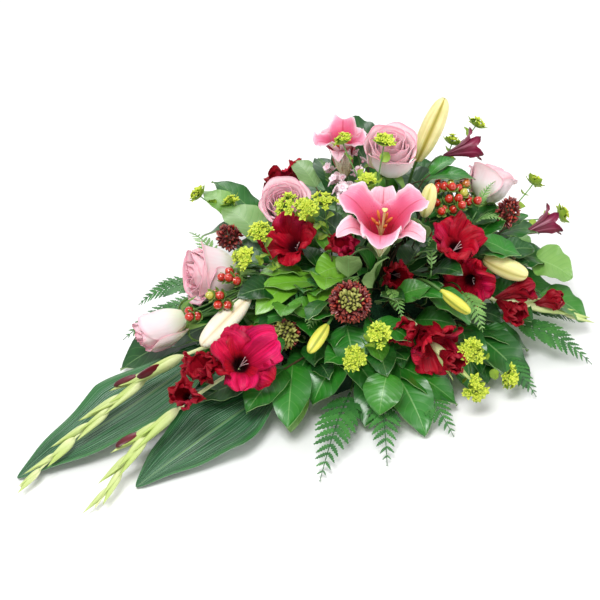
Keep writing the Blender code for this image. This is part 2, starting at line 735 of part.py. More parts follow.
def aspidistra(name, enters, neck, middle, tip, width=ASPIDISTRA_WIDTH, roll=4, fold=0.16):
    """A broad strap leaf on a stalk: its rib runs neck, middle, tip, its blade is pleated lengthwise."""
    neck, middle, tip = Vector(neck), Vector(middle), Vector(tip)
    ahead = (middle - neck).normalized()
    path = stem_path(enters, neck, ahead)
    rib = bezier(neck, neck.lerp(middle, 0.75), tip.lerp(middle, 0.75), tip, ASPIDISTRA_ROWS)
    rows = []
    for i, place in enumerate(rib):
        t = i / (len(rib) - 1)
        along_rib = (rib[min(i + 1, len(rib) - 1)] - rib[max(i - 1, 0)]).normalized()
        side = along_rib.cross(Vector((0, 0, 1))).normalized()
        side = Matrix.Rotation(math.radians(roll), 3, along_rib) @ side
        up = side.cross(along_rib)
        half = max(width / 2 * (math.sin(math.pi * min(t * 0.90 + 0.055, 1)) ** 0.72), LEAF_STALK)
        if i == len(rib) - 1:
            half = LEAF_STALK
        row = []
        for j in range(7):
            w = j / 3 - 1
            pleat = ASPIDISTRA_PLEAT * (1 if j % 2 else -1) * min(half / 0.02, 1)
            row.append(place + side * half * w + up * (abs(w) ** 1.4 * half * fold + pleat))
        rows.append(row)
    node(name, "aspidistra", [stem(path, 0.0022, 0.0016), blade(rows, LEAF_THICKNESS)])


def fern(name, enters, neck, tip, width, arch=0.012, roll=0.0, pairs=10):
    neck, tip = Vector(neck), Vector(tip)
    arrives = (tip - neck).normalized()
    path = stem_path(enters, neck, arrives)
    rib = path + [neck.lerp(tip, 0.06)]
    frond = frond_shell(neck, tip, width, arch, roll, pairs)
    node(name, "fern", [stem(rib, FINE_STEM, 0.0010), frond])


def leafy_stem(name, enters, places, leaves, radius=SLIM_STEM):
    """A salal stem: leaves along a twig, each given by its share of the twig, tip, width, arch and roll."""
    path = route(enters, *places)
    shells = [stem(path, radius, 0.0012)]
    for share, tip, width, arch, roll in leaves:
        base = along(path, share)[0]
        shells.append(leaf_shell(base, Vector(tip), width, arch, roll, OVATE))
    node(name, "salal", shells)


# The arrangement


def place_roses():
    rose("rose_tail", (-0.115, 0.028, 0.062), (-0.229, 0.045, 0.085), 172, -6, 0.88, 1.22, 0.15)
    rose("rose_left", (-0.098, 0.036, 0.086), (-0.146, 0.082, 0.096), 168, 12, 1.04, 1.15, 0.8, 20)
    rose("rose_back_left", (-0.045, 0.043, 0.086), (-0.056, 0.116, 0.127), 225, 58, 0.84, 1.0, 0.85, 50)
    rose("rose_top", (0.015, 0.015, 0.086), (0.026, 0.029, 0.206), 240, 70, 0.95, 1.1, 0.6)
    rose("rose_right", (0.088, 0.0, 0.086), (0.140, -0.003, 0.144), 20, 45, 0.84, 0.88, 0.8, 30)


def place_lilies():
    lily("lily_open", (-0.035, -0.028, 0.086), (-0.048, -0.064, 0.170), 238, 78, 1.0, 0.82, 25)
    lily("lily_half_open", (-0.008, 0.035, 0.086), (0.001, 0.080, 0.182), 200, 80, 0.9, 0.55)
    lily_bud("lily_bud_top", (0.050, 0.028, 0.086), (0.074, 0.040, 0.200), (0.097, 0.023, 0.285), 0.0125)
    lily_bud("lily_bud_centre", (0.028, -0.008, 0.086), (0.039, -0.026, 0.170), (0.044, -0.031, 0.215), 0.009)
    lily_bud("lily_bud_left", (-0.098, 0.008, 0.086), (-0.166, 0.020, 0.108), (-0.244, -0.005, 0.085), 0.0125)
    lily_bud("lily_bud_right", (0.062, -0.036, 0.086), (0.096, -0.068, 0.118), (0.134, -0.106, 0.101), 0.012)
    lily_bud("lily_bud_front", (0.008, -0.040, 0.086), (0.004, -0.108, 0.130), (0.024, -0.140, 0.110), 0.007)
    low_base, low_tip = (-0.122, -0.074, 0.110), (-0.157, -0.090, 0.095)
    lily_bud("lily_bud_low", (-0.088, -0.038, 0.086), low_base, low_tip, 0.0075)


def place_gladioli():
    spike(
        "gladiolus_tail_left",
        (-0.115, 0.008, 0.052),
        [(-0.180, 0.012, 0.062), (-0.262, 0.012, 0.065), (-0.355, 0.002, 0.040), (-0.480, -0.034, 0.012)],
        [],
        (0.42, 0.93, 9),
    )
    spike(
        "gladiolus_tail_right",
        (-0.115, -0.014, 0.052),
        [(-0.180, -0.032, 0.062), (-0.253, -0.044, 0.060), (-0.342, -0.062, 0.040), (-0.426, -0.102, 0.010)],
        [
            (0.36, 250, 50, 1.0, 1.0),
            (0.46, 195, 60, 0.9, 0.6),
            (0.55, 230, 45, 0.9, 0.5),
        ],
        (0.60, 0.93, 6),
    )
    spike(
        "gladiolus_right",
        (0.092, -0.042, 0.086),
        [(0.090, -0.083, 0.076), (0.145, -0.108, 0.055), (0.200, -0.130, 0.030)],
        [
            (0.24, 216, 23, 0.84, 0.9),
            (0.42, 345, 12, 0.85, 0.5),
            (0.44, 270, 5, 0.8, 0.5),
            (0.66, 325, 18, 0.7, 0.5),
        ],
        (0.50, 0.90, 4),
    )
    spike(
        "gladiolus_front",
        (-0.010, -0.055, 0.066),
        [(-0.014, -0.100, 0.078), (-0.012, -0.145, 0.060)],
        [
            (0.45, 268, -4, 1.0, 0.75),
            (0.58, 205, 24, 0.85, 0.5),
            (0.86, 270, 10, 0.75, 0.5),
        ],
        (0.78, 0.88, 2),
    )
    floret("gladiolus_left", (-0.070, 0.030, 0.086), (-0.080, 0.052, 0.114), 205, 62, 0.88)
    floret("gladiolus_middle", (-0.038, 0.006, 0.086), (-0.044, 0.008, 0.118), 220, 65, 0.85, 0.6)
    floret("gladiolus_under_lily", (-0.010, -0.014, 0.086), (-0.004, -0.024, 0.106), 246, 30, 0.9, 0.6)
    floret("gladiolus_centre_right", (0.035, -0.030, 0.086), (0.064, -0.050, 0.124), 250, 58, 0.76)
    floret("gladiolus_back", (-0.015, 0.055, 0.066), (-0.014, 0.158, 0.112), 100, 45, 0.78)
    alstroemeria("alstroemeria_top", (0.074, 0.022, 0.086), (0.126, 0.055, 0.186), 350, 6, 0.78)
    alstroemeria("alstroemeria_right", (0.100, -0.018, 0.086), (0.181, -0.038, 0.106), 350, 12, 0.78)


def place_berries():
    berries(
        "hypericum_right",
        (0.060, -0.005, 0.086),
        (0.082, -0.010, 0.150),
        [
            (0.095, -0.014, 0.180), (0.086, -0.026, 0.176), (0.106, -0.006, 0.178), (0.080, -0.008, 0.184),
            (0.100, -0.026, 0.168), (0.088, 0.004, 0.176), (0.070, -0.022, 0.166),
        ],
    )
    berries(
        "hypericum_left",
        (-0.100, 0.022, 0.086),
        (-0.150, 0.036, 0.112),
        [
            (-0.186, 0.041, 0.128), (-0.175, 0.028, 0.127), (-0.204, 0.026, 0.122), (-0.208, 0.013, 0.117),
            (-0.229, 0.023, 0.104),
        ],
    )


def place_skimmia():
    skimmia("skimmia_centre", (-0.070, -0.035, 0.086), (-0.094, -0.075, 0.130), 238, 45, 0.025, 0.9, True)
    skimmia("skimmia_left", (-0.080, 0.055, 0.070), (-0.133, 0.122, 0.120), 150, 40, 0.015, 1.2)
    low_leaves = [(0.62, 155, -4, 0.055, 0.032), (0.66, 265, 2, 0.048, 0.030)]
    low = (-0.153, -0.036, 0.085)
    skimmia("skimmia_low", (-0.098, -0.018, 0.086), low, 220, 30, 0.016, 1.0, leaves=low_leaves)
    skimmia("skimmia_right", (0.078, -0.018, 0.086), (0.154, -0.036, 0.142), 320, 72, 0.0135, 1.8)


def place_bupleurum():
    bupleurum(
        "bupleurum_back",
        (-0.060, 0.055, 0.070),
        (-0.090, 0.160, 0.110),
        [(-0.126, 0.205, 0.132), (-0.098, 0.180, 0.126)],
        0.010,
    )
    bupleurum(
        "bupleurum_left",
        (-0.083, 0.020, 0.086),
        (-0.128, 0.034, 0.126),
        [(-0.141, 0.036, 0.172), (-0.163, 0.032, 0.150)],
    )
    bupleurum(
        "bupleurum_centre",
        (-0.055, 0.022, 0.086),
        (-0.060, 0.028, 0.160),
        [(-0.100, 0.045, 0.192), (-0.089, 0.020, 0.197), (-0.060, 0.030, 0.190)],
    )
    bupleurum(
        "bupleurum_top",
        (-0.015, 0.008, 0.086),
        (-0.014, 0.004, 0.190),
        [(-0.026, -0.005, 0.225), (-0.007, -0.007, 0.270), (-0.025, 0.047, 0.250)],
        0.010,
    )
    bupleurum(
        "bupleurum_top_right",
        (0.090, 0.034, 0.086),
        (0.146, 0.078, 0.158),
        [(0.163, 0.088, 0.174), (0.190, 0.078, 0.196)],
    )
    bupleurum(
        "bupleurum_right",
        (0.115, 0.008, 0.062),
        (0.190, 0.004, 0.100),
        [(0.250, 0.030, 0.120), (0.262, -0.010, 0.090)],
    )
    bupleurum(
        "bupleurum_front_left",
        (-0.070, -0.055, 0.066),
        (-0.090, -0.105, 0.090),
        [(-0.098, -0.136, 0.125), (-0.120, -0.128, 0.098)],
    )
    bupleurum(
        "bupleurum_front",
        (0.030, -0.055, 0.060),
        (0.034, -0.128, 0.056),
        [(0.008, -0.164, 0.080), (0.004, -0.182, 0.040), (0.050, -0.178, 0.036)],
    )
    waxflower(
        "waxflower",
        (-0.022, 0.026, 0.086),
        (-0.012, 0.050, 0.160),
        [(0.007, 0.055, 0.195), (-0.016, 0.070, 0.185), (-0.022, 0.052, 0.186)],
    )


def place_greens():
    aspidistra(
        "aspidistra_left",
        (-0.115, 0.030, 0.034),
        (-0.205, 0.036, 0.040),
        (-0.355, 0.000, 0.022),
        (-0.474, -0.011, 0.004),
    )
    aspidistra(
        "aspidistra_right",
        (-0.115, -0.030, 0.034),
        (-0.180, -0.050, 0.026),
        (-0.270, -0.062, 0.012),
        (-0.373, -0.091, 0.004),
    )
    fern("fern_front", (-0.078, -0.055, 0.034), (-0.108, -0.100, 0.026), (-0.204, -0.187, 0.004), 0.072)
    fern("fern_right", (0.115, -0.036, 0.040), (0.120, -0.100, 0.034), (0.176, -0.185, 0.006), 0.070)
    fern("fern_left", (-0.100, 0.055, 0.045), (-0.170, 0.130, 0.060), (-0.240, 0.160, 0.040), 0.060)
    fern("fern_far_left", (-0.115, 0.046, 0.046), (-0.190, 0.105, 0.050), (-0.287, 0.107, 0.040), 0.060)
    fern("fern_back", (0.060, 0.055, 0.040), (0.075, 0.130, 0.050), (0.130, 0.235, 0.010), 0.075)
    leafy_stem(
        "salal_back_left",
        (-0.040, 0.055, 0.050),
        [(-0.048, 0.130, 0.075), (-0.060, 0.180, 0.090)],
        [
            (0.98, (-0.087, 0.248, 0.120), 0.045, 0.006, 10),
            (0.84, (-0.135, 0.190, 0.085), 0.050, 0.008, 20),
            (0.70, (0.000, 0.195, 0.070), 0.045, 0.008, -10),
            (0.56, (-0.110, 0.130, 0.060), 0.045, 0.008, 0),
        ],
    )
    leafy_stem(
        "salal_front_left",
        (-0.115, -0.040, 0.050),
        [(-0.172, -0.062, 0.060)],
        [
            (0.98, (-0.235, -0.088, 0.044), 0.046, 0.006, 0),
            (0.80, (-0.205, -0.124, 0.034), 0.046, 0.006, 0),
        ],
    )
    leafy_stem(
        "salal_corner",
        (-0.090, -0.055, 0.062),
        [(-0.105, -0.080, 0.068)],
        [(0.98, (-0.158, -0.100, 0.030), 0.048, 0.006, 0), (0.80, (-0.100, -0.150, 0.045), 0.044, 0.006, 0)],
    )
    leafy_stem(
        "salal_front",
        (-0.045, -0.055, 0.046),
        [(-0.056, -0.100, 0.050), (-0.058, -0.115, 0.044)],
        [
            (0.98, (-0.066, -0.188, 0.008), 0.052, 0.006, 0),
            (0.78, (-0.118, -0.145, 0.012), 0.050, 0.006, 0),
            (0.84, (-0.008, -0.168, 0.012), 0.050, 0.006, 0),
            (0.60, (-0.050, -0.125, 0.064), 0.044, 0.006, 0),
        ],
    )
    leafy_stem(
        "salal_front_right",
        (0.045, -0.055, 0.045),
        [(0.055, -0.090, 0.052), (0.060, -0.105, 0.046)],
        [
            (0.98, (0.085, -0.180, 0.008), 0.058, 0.006, 0),
            (0.76, (0.020, -0.155, 0.012), 0.048, 0.006, 0),
            (0.84, (0.125, -0.130, 0.012), 0.048, 0.006, 0),
            (0.60, (0.040, -0.115, 0.095), 0.044, 0.006, 0),
        ],
    )
    leafy_stem(
        "salal_right",
        (0.115, -0.012, 0.046),
        [(0.165, -0.030, 0.066)],
        [
            (0.98, (0.245, -0.052, 0.050), 0.056, 0.006, 0),
            (0.76, (0.215, -0.112, 0.014), 0.050, 0.006, 0),
            (0.84, (0.235, 0.020, 0.055), 0.050, 0.006, 0),
            (0.60, (0.175, -0.075, 0.085), 0.044, 0.006, 0),
        ],
    )
    leafy_stem(
        "salal_back_middle",
        (0.045, 0.055, 0.056),
        [(0.040, 0.120, 0.080), (0.045, 0.160, 0.085)],
        [
            (0.98, (0.050, 0.240, 0.080), 0.050, 0.008, 0),
            (0.72, (-0.010, 0.180, 0.110), 0.045, 0.008, 0),
            (0.84, (0.105, 0.190, 0.085), 0.045, 0.008, 0),
            (0.58, (0.090, 0.125, 0.110), 0.045, 0.008, 0),
        ],
    )
    leafy_stem(
        "salal_back_right",
        (0.095, 0.055, 0.050),
        [(0.140, 0.100, 0.066)],
        [
            (0.98, (0.205, 0.130, 0.056), 0.050, 0.008, 0),
            (0.74, (0.150, 0.180, 0.040), 0.050, 0.008, 0),
            (0.84, (0.215, 0.070, 0.080), 0.045, 0.008, 0),
        ],
    )
    leafy_stem(
        "salal_top",
        (0.030, 0.042, 0.086),
        [(0.045, 0.085, 0.140), (0.050, 0.105, 0.170)],
        [
            (0.98, (0.040, 0.160, 0.205), 0.045, 0.006, 0),
            (0.80, (0.110, 0.110, 0.170), 0.045, 0.006, 0),
            (0.60, (0.000, 0.125, 0.140), 0.040, 0.006, 0),
        ],
    )
    leafy_stem(
        "salal_middle",
        (-0.068, 0.006, 0.086),
        [(-0.082, 0.000, 0.108)],
        [
            (0.98, (-0.150, 0.015, 0.118), 0.036, 0.004, 0),
            (0.80, (-0.120, -0.045, 0.115), 0.034, 0.004, 0),
        ],
    )
    leafy_stem(
        "salal_under_lily",
        (0.010, -0.018, 0.086),
        [(0.008, -0.032, 0.118)],
        [
            (0.98, (0.034, -0.066, 0.146), 0.032, 0.004, 0),
            (0.74, (0.040, -0.060, 0.105), 0.024, 0.004, 0),
        ],
    )


def place_tray():
    """The shallow tray: a rounded box, hollowed down to its floor."""
    tray = bmesh.new()
    bmesh.ops.create_cube(tray, size=1.0, matrix=Matrix.Diagonal((TRAY_LENGTH, TRAY_WIDTH, TRAY_HEIGHT, 1)))
    bmesh.ops.translate(tray, verts=tray.verts, vec=(0, 0, TRAY_HEIGHT / 2))
    upright = [e for e in tray.edges if abs(e.verts[0].co.z - e.verts[1].co.z) > TRAY_HEIGHT / 2]
    bmesh.ops.bevel(
        tray, geom=upright, offset=TRAY_CORNER, segments=TRAY_CORNER_STEPS, affect="EDGES", profile=0.5
    )
    mouth = [f for f in tray.faces if f.normal.z > 0.5]
    bmesh.ops.inset_region(tray, faces=mouth, thickness=TRAY_WALL, use_even_offset=True)
    sunk = bmesh.ops.extrude_face_region(tray, geom=mouth)
    floor = [v for v in sunk["geom"] if isinstance(v, bmesh.types.BMVert)]
    bmesh.ops.translate(tray, verts=floor, vec=(0, 0, TRAY_WALL - TRAY_HEIGHT))
    bmesh.ops.delete(tray, geom=mouth, context="FACES")
    bmesh.ops.recalc_face_normals(tray, faces=tray.faces)
    mesh = bpy.data.meshes.new("tray")
    tray.to_mesh(mesh)
    tray.free()
    obj = bpy.data.objects.new("tray", mesh)
    bpy.context.scene.collection.objects.link(obj)
    finished(obj, "tray")


def place_foam():
    """The block of floral foam that stands in the tray, with a hole for each stem noted so far."""
    foot = TRAY_WALL + FIT_GAP
    height = FOAM_TOP - foot
    block = bmesh.new()
    bmesh.ops.create_cube(block, size=1.0, matrix=Matrix.Diagonal((FOAM_LENGTH, FOAM_WIDTH, height, 1)))
    bmesh.ops.translate(block, verts=block.verts, vec=(0, 0, foot + height / 2))
    above = [e for e in block.edges if e.verts[0].co.z + e.verts[1].co.z > FOAM_TOP]
    bmesh.ops.bevel(block, geom=above, offset=FOAM_CORNER, segments=1, affect="EDGES", profile=0.5)
    mesh = bpy.data.meshes.new("foam")
    block.to_mesh(mesh)
    block.free()
    foam = bpy.data.objects.new("foam", mesh)
    bpy.context.scene.collection.objects.link(foam)
    combine(foam, STEM_HOLES, "DIFFERENCE")
    finished(foam, "foam")


def main():
    for obj in list(bpy.data.objects):
        bpy.data.objects.remove(obj)
    place_roses()
    place_lilies()
    place_gladioli()
    place_berries()
    place_skimmia()
    place_bupleurum()
    place_greens()
    place_tray()
    place_foam()


main()
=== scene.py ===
"""The looks of a flower sheaf: petals, leaves, florets, berries and foam, dressed over its frame.

Lengths are in metres in the frame's own axes. The places of what the frame has too are the same as in the
frame's source, so each head and leaf stands where its solid does. The waxflower that stands for no node, the
added leaves, the sprigs and the filling leaves are only here.
"""

import math
import random

import bpy
import numpy as np
from mathutils import Matrix, Vector


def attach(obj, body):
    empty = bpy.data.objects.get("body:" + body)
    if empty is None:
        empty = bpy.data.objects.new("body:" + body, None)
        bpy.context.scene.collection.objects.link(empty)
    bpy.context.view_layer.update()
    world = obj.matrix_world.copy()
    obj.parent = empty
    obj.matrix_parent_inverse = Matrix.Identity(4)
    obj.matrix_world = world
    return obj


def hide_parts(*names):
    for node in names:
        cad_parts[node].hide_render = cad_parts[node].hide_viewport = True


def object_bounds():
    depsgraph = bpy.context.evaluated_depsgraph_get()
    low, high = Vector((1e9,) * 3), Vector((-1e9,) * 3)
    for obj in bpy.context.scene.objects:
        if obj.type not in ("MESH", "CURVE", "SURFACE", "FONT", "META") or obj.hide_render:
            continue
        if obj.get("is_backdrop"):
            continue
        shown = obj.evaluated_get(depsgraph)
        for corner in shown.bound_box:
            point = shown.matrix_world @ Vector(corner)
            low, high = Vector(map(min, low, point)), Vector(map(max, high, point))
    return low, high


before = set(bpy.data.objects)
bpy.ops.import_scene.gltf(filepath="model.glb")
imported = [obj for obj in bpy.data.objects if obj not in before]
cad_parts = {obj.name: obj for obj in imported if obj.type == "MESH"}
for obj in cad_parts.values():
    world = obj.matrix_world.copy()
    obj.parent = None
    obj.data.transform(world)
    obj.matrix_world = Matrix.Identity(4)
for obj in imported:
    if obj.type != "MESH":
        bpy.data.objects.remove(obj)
cad_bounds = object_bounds()

# Sizes that the frame's source has too
FOAM_LENGTH = 0.230
FOAM_WIDTH = 0.110
FOAM_TOP = 0.086
STEM_DEPTH = 0.024
GATE = 0.004
ROSE_STEM = 0.0024
LILY_STEM = 0.0028
GLADIOLUS_STEM = 0.0032
SLIM_STEM = 0.0016
FINE_STEM = 0.0012
ROSE_RADIUS = 0.033
ROSE_HEIGHT = 0.056
LILY_RADIUS = 0.064
LILY_HEIGHT = 0.060
FLORET_RADIUS = 0.039
FLORET_HEIGHT = 0.046
BERRY_LENGTH = 0.011
ASPIDISTRA_WIDTH = 0.104
LEAF_FOLD = 0.22

# Sizes that are not in the frame's source, or differ from it
STEM_END = 0.003
FLORET_LIFT = 0.004
BRACT_LENGTH = 0.072
BRACT_SPREAD = 0.17
PETAL_THICKNESS = 0.0006
LEAF_THICKNESS = 0.0007
FINE_THICKNESS = 0.0004
MOULD_THICKNESS = 0.04
GOLDEN_ANGLE = math.radians(137.508)
SHARP_EDGE = math.radians(60)
STEM_STEPS = 15
ROUTE_STEPS = 7
STRAP_STEPS = 61
STRAP_HALF_STEPS = 22
MOUND_MIDDLE = (0.0, 0.0, 0.035)
MOUND_REACH = (0.185, 0.125, 0.125)
BLOOM_GAP = 0.004
LEAST_HEIGHT = 0.012
UP = Vector((0, 0, 1))

# Radii at the foot and at the end of stems and threads
FLORET_STEM = (0.0024, 0.0024)
SPIKE_STEM = (GLADIOLUS_STEM, 0.0010)
BUD_STEM = (SLIM_STEM, 0.0018)
STRAP_STALK = (0.0022, 0.0018)
BERRY_TWIG = (SLIM_STEM, 0.0013)
BERRY_STALK = (0.0009, 0.0009)
SALAL_TWIG = (SLIM_STEM, 0.0012)
LEAF_STALK = (0.0011, 0.0008)
FROND_RIB = (0.0011, 0.0004)
FROND_STALK = (FINE_STEM, 0.0010)
UMBEL_STALK = (0.0009, 0.0008)
UMBEL_RAY = (0.0005, 0.0004)
WAXFLOWER_STEM = (FINE_STEM, 0.0010)
WAXFLOWER_TWIG = (0.0009, 0.0007)
WAXFLOWER_STALK = (0.0004, 0.0003)
NEEDLE = (0.0006, 0.0002)
LILY_FILAMENT = (0.0008, 0.0006)
LILY_PISTIL = (0.0013, 0.0015)
FLORET_FILAMENT = (0.0005, 0.0004)


def paint(red, green, blue):
    """Screen values from 0 to 255 as the linear colour that a shader takes."""
    return tuple(((c / 255 + 0.055) / 1.055) ** 2.4 for c in (red, green, blue)) + (1.0,)


# Placing, as in the frame's source


def direction(heading, rise):
    """Unit vector for a compass heading from +X towards +Y and a rise above the table, in degrees."""
    h, r = math.radians(heading), math.radians(rise)
    return Vector((math.cos(h) * math.cos(r), math.sin(h) * math.cos(r), math.sin(r)))


BLOOMS = []


def keep_clear(place, *balls):
    """Notes the balls, each (height above a head's foot, radius), that the filling leaves stay out of."""
    BLOOMS.extend((place @ Vector((0, 0, height)), radius) for height, radius in balls)


def turned_to(at, way, roll=0.0):
    turn = Vector(way).to_track_quat("Z", "Y").to_matrix().to_4x4()
    return Matrix.Translation(at) @ turn @ Matrix.Rotation(math.radians(roll), 4, "Z")


def facing(at, heading, rise, roll=0.0):
    """Places a head at a point: its own +Z turns to the heading and rise, then it rolls about that axis."""
    return turned_to(at, direction(heading, rise), roll)


def bezier(start, lift, pull, end, count):
    found = []
    for i in range(count):
        t = i / (count - 1)
        s = 1 - t
        found.append(start * s**3 + lift * (3 * s * s * t) + pull * (3 * s * t * t) + end * t**3)
    return found


def along(path, share):
    """The point at a share of a path's length, and the direction of the path there."""
    lengths = [(b - a).length for a, b in zip(path, path[1:])]
    left = share * sum(lengths)
    for (a, b), length in zip(zip(path, path[1:]), lengths):
        if left <= length or b is path[-1]:
            return a.lerp(b, min(left / length, 1.0)), (b - a).normalized()
        left -= length


def bedding(enters):
    """The way out of a stem's hole: square to the block, leaning out towards its edges."""
    lean = Vector((2 * enters.x / FOAM_LENGTH, 2 * enters.y / FOAM_WIDTH, enters.z / FOAM_TOP))
    return Vector((lean.x**3, lean.y**3, lean.z**3)).normalized()


def stem_path(enters, base, arrives, pull=0.35):
    """From a foot in the foam, straight out through its hole, then in a curve to a head's base."""
    out = bedding(enters)
    gate = enters + out * GATE
    reach = (base - gate).length
    end = base - arrives * STEM_END
    curve = bezier(gate, gate + out * reach * 0.3, base - arrives * reach * pull, end, STEM_STEPS)
    return [enters - out * STEM_DEPTH] + curve


def route(enters, *places):
    """From a foot in the foam, straight out through its hole, then smoothly through given places."""
    out = bedding(enters)
    knots = [enters + out * GATE, *places]
    found = [enters - out * STEM_DEPTH]
    for i in range(len(knots) - 1):
        a, b = knots[i], knots[i + 1]
        reach = (b - a).length
        before = out if i == 0 else (b - knots[i - 1]).normalized()
        after = (knots[i + 2] - a).normalized() if i + 2 < len(knots) else (b - a).normalized()
        piece = bezier(a, a + before * reach * 0.33, b - after * reach * 0.33, b, ROUTE_STEPS)
        found += piece if i == 0 else piece[1:]
    return found


# Meshes


def moved(points, matrix):
    if matrix is None:
        return points
    m = np.array(matrix)
    return points @ m[:3, :3].T + m[:3, 3]


class Pile:
    """Thin sheets and round bodies in one mesh, with a UV map, a tone for each and a side for each point."""

    def __init__(self):
        self.points, self.faces, self.uvs, self.tones, self.sides = [], [], [], [], []
        self.count = 0

    def add(self, points, faces, uvs, tone, sides):
        self.faces += [[int(k) + self.count for k in face] for face in faces]
        self.points.append(points)
        self.uvs.append(uvs)
        self.tones.append(np.full(len(points), tone))
        self.sides.append(sides)
        self.count += len(points)

    def sheet(self, grid, thickness, tone=0.5, matrix=None):
        """A closed thin body from rows of points: side 0 is the rows' upper face, side 1 the other."""
        n, m = grid.shape[:2]
        normal = np.cross(np.gradient(grid, axis=1), np.gradient(grid, axis=0))
        normal /= np.linalg.norm(normal, axis=2, keepdims=True) + 1e-12
        half = normal * thickness / 2
        points = moved(np.concatenate([(grid + half).reshape(-1, 3), (grid - half).reshape(-1, 3)]), matrix)
        i, j = np.meshgrid(np.arange(n - 1), np.arange(m - 1), indexing="ij")
        a = (i * m + j).ravel()
        total = n * m
        over = np.stack([a, a + 1, a + m + 1, a + m], 1)
        under = np.stack([a, a + m, a + m + 1, a + 1], 1) + total
        loop = list(range(m)) + [k * m + m - 1 for k in range(1, n)]
        loop += [(n - 1) * m + k for k in range(m - 2, -1, -1)] + [k * m for k in range(n - 2, 0, -1)]
        rim = [[q, p, p + total, q + total] for p, q in zip(loop, loop[1:] + loop[:1])]
        v, u = np.meshgrid(np.linspace(0, 1, n), np.linspace(0, 1, m), indexing="ij")
        uvs = np.tile(np.stack([u.ravel(), v.ravel()], 1), (2, 1))
        self.add(points, over.tolist() + under.tolist() + rim, uvs, tone, np.repeat([0.0, 1.0], total))

    def round(self, rings, tone=0.5, matrix=None):
        """A closed body through rings of points. The first and last ring each shrink to one point."""
        n, m = rings.shape[:2]
        points = np.concatenate([rings[1:-1].reshape(-1, 3), [rings[0].mean(0), rings[-1].mean(0)]])
        rows = n - 2
        first, last = rows * m, rows * m + 1
        faces = []
        for k in range(m):
            b = (k + 1) % m
            faces.append([first, b, k])
            faces.append([last, (rows - 1) * m + k, (rows - 1) * m + b])
            faces += [[i * m + k, i * m + b, i * m + m + b, i * m + m + k] for i in range(rows - 1)]
        v, u = np.meshgrid(np.linspace(0, 1, n)[1:-1], np.linspace(0, 1, m), indexing="ij")
        uvs = np.concatenate([np.stack([u.ravel(), v.ravel()], 1), [[0.5, 0.0], [0.5, 1.0]]])
        self.add(moved(points, matrix), faces, uvs, tone, np.zeros(len(points)))

    def mesh(self, name, finish):
        made = bpy.data.meshes.new(name)
        made.from_pydata(np.concatenate(self.points), [], self.faces)
        corners = np.empty(len(made.loops), np.int32)
        made.loops.foreach_get("vertex_index", corners)
        made.uv_layers.new(name="UVMap").data.foreach_set("uv", np.concatenate(self.uvs)[corners].ravel())
        for label, values in (("tone", self.tones), ("side", self.sides)):
            made.attributes.new(label, "FLOAT", "POINT").data.foreach_set("value", np.concatenate(values))
        made.shade_smooth()
        made.set_sharp_from_angle(angle=SHARP_EDGE)
        made.materials.append(finish)
        return made

    def stand(self, name, finish, slot, *nodes):
        stand(name, self.mesh(name, finish), slot, *nodes)


def smooth_rows(rows, count):
    """Rows of numbers drawn through smoothly, to count rows."""
    rows = np.array(rows, float)
    padded = np.vstack([2 * rows[0] - rows[1], rows, 2 * rows[-1] - rows[-2]])
    t = np.linspace(0, len(rows) - 1, count)
    i = np.minimum(t.astype(int), len(rows) - 2)
    f = (t - i)[:, None]
    a, b, c, d = padded[i], padded[i + 1], padded[i + 2], padded[i + 3]
    return 0.5 * (2 * b + (c - a) * f + (2 * a - 5 * b + 4 * c - d) * f**2 + (3 * b - a - 3 * c + d) * f**3)


def rise_between(value, low, high):
    """0 below low, 1 above high, and smooth between them."""
    t = np.clip((value - low) / (high - low), 0, 1)
    return t * t * (3 - 2 * t)


def turned_rings(profile, sides, ribs=0, depth=0.0):
    """Rings about Z through (height, radius) pairs, with lengthwise ribs that fade towards the ends."""
    rows = np.array(profile, float)
    turn = np.linspace(0, 2 * math.pi, sides, endpoint=False)
    reach = rows[:, 1:2] * (1 + depth * np.cos(ribs * turn)[None, :])
    height = np.repeat(rows[:, 0:1], sides, 1)
    return np.stack([reach * np.cos(turn), reach * np.sin(turn), height], 2)


def spindle(profile, count, sides, ribs=0, depth=0.0):
    """Rings through a profile that is drawn smoothly to count rows."""
    rows = smooth_rows(profile, count)
    rows[:, 1] = np.maximum(rows[:, 1], 0)
    return turned_rings(rows, sides, ribs, depth)


def linked(name, data):
    """A new object in the scene."""
    obj = bpy.data.objects.new(name, data)
    bpy.context.scene.collection.objects.link(obj)
    return obj


def stand(name, mesh, slot, *nodes):
    """Hands a finished mesh to the frame: it rides on the body, and stands for the nodes that it replaces."""
    obj = linked(name, mesh)
    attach(obj, "root")
    if nodes:
        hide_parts(*nodes)


# Node trees

FLOAT, VECTOR, WHOLE = "NodeSocketFloat", "NodeSocketVector", "NodeSocketInt"
MATERIAL, OBJECT, GEOMETRY = "NodeSocketMaterial", "NodeSocketObject", "NodeSocketGeometry"
SHADER_TREE, GEOMETRY_TREE = "ShaderNodeTree", "GeometryNodeTree"


class Value:
    """An output in a node tree. Arithmetic with it adds maths nodes to the tree."""

    def __init__(self, tree, socket):
        self.tree, self.socket = tree, socket

    def __add__(self, other):
        return self.tree.maths("ADD", self, other)

    def __sub__(self, other):
        return self.tree.maths("SUBTRACT", self, other)

    def __rsub__(self, other):
        return self.tree.maths("SUBTRACT", other, self)

    def __mul__(self, other):
        return self.tree.maths("MULTIPLY", self, other)

    def __truediv__(self, other):
        return self.tree.maths("DIVIDE", self, other)

    def __pow__(self, other):
        return self.tree.maths("POWER", self, other)

    def __abs__(self):
        return self.tree.maths("ABSOLUTE", self)

    def fade(self, low, high):
        """0 up to low, 1 from high on, and smooth between them. It falls where low is above high."""
        inputs = {0: self, 1: low, 2: high}
        return self.tree.put("ShaderNodeMapRange", inputs, interpolation_type="SMOOTHSTEP")


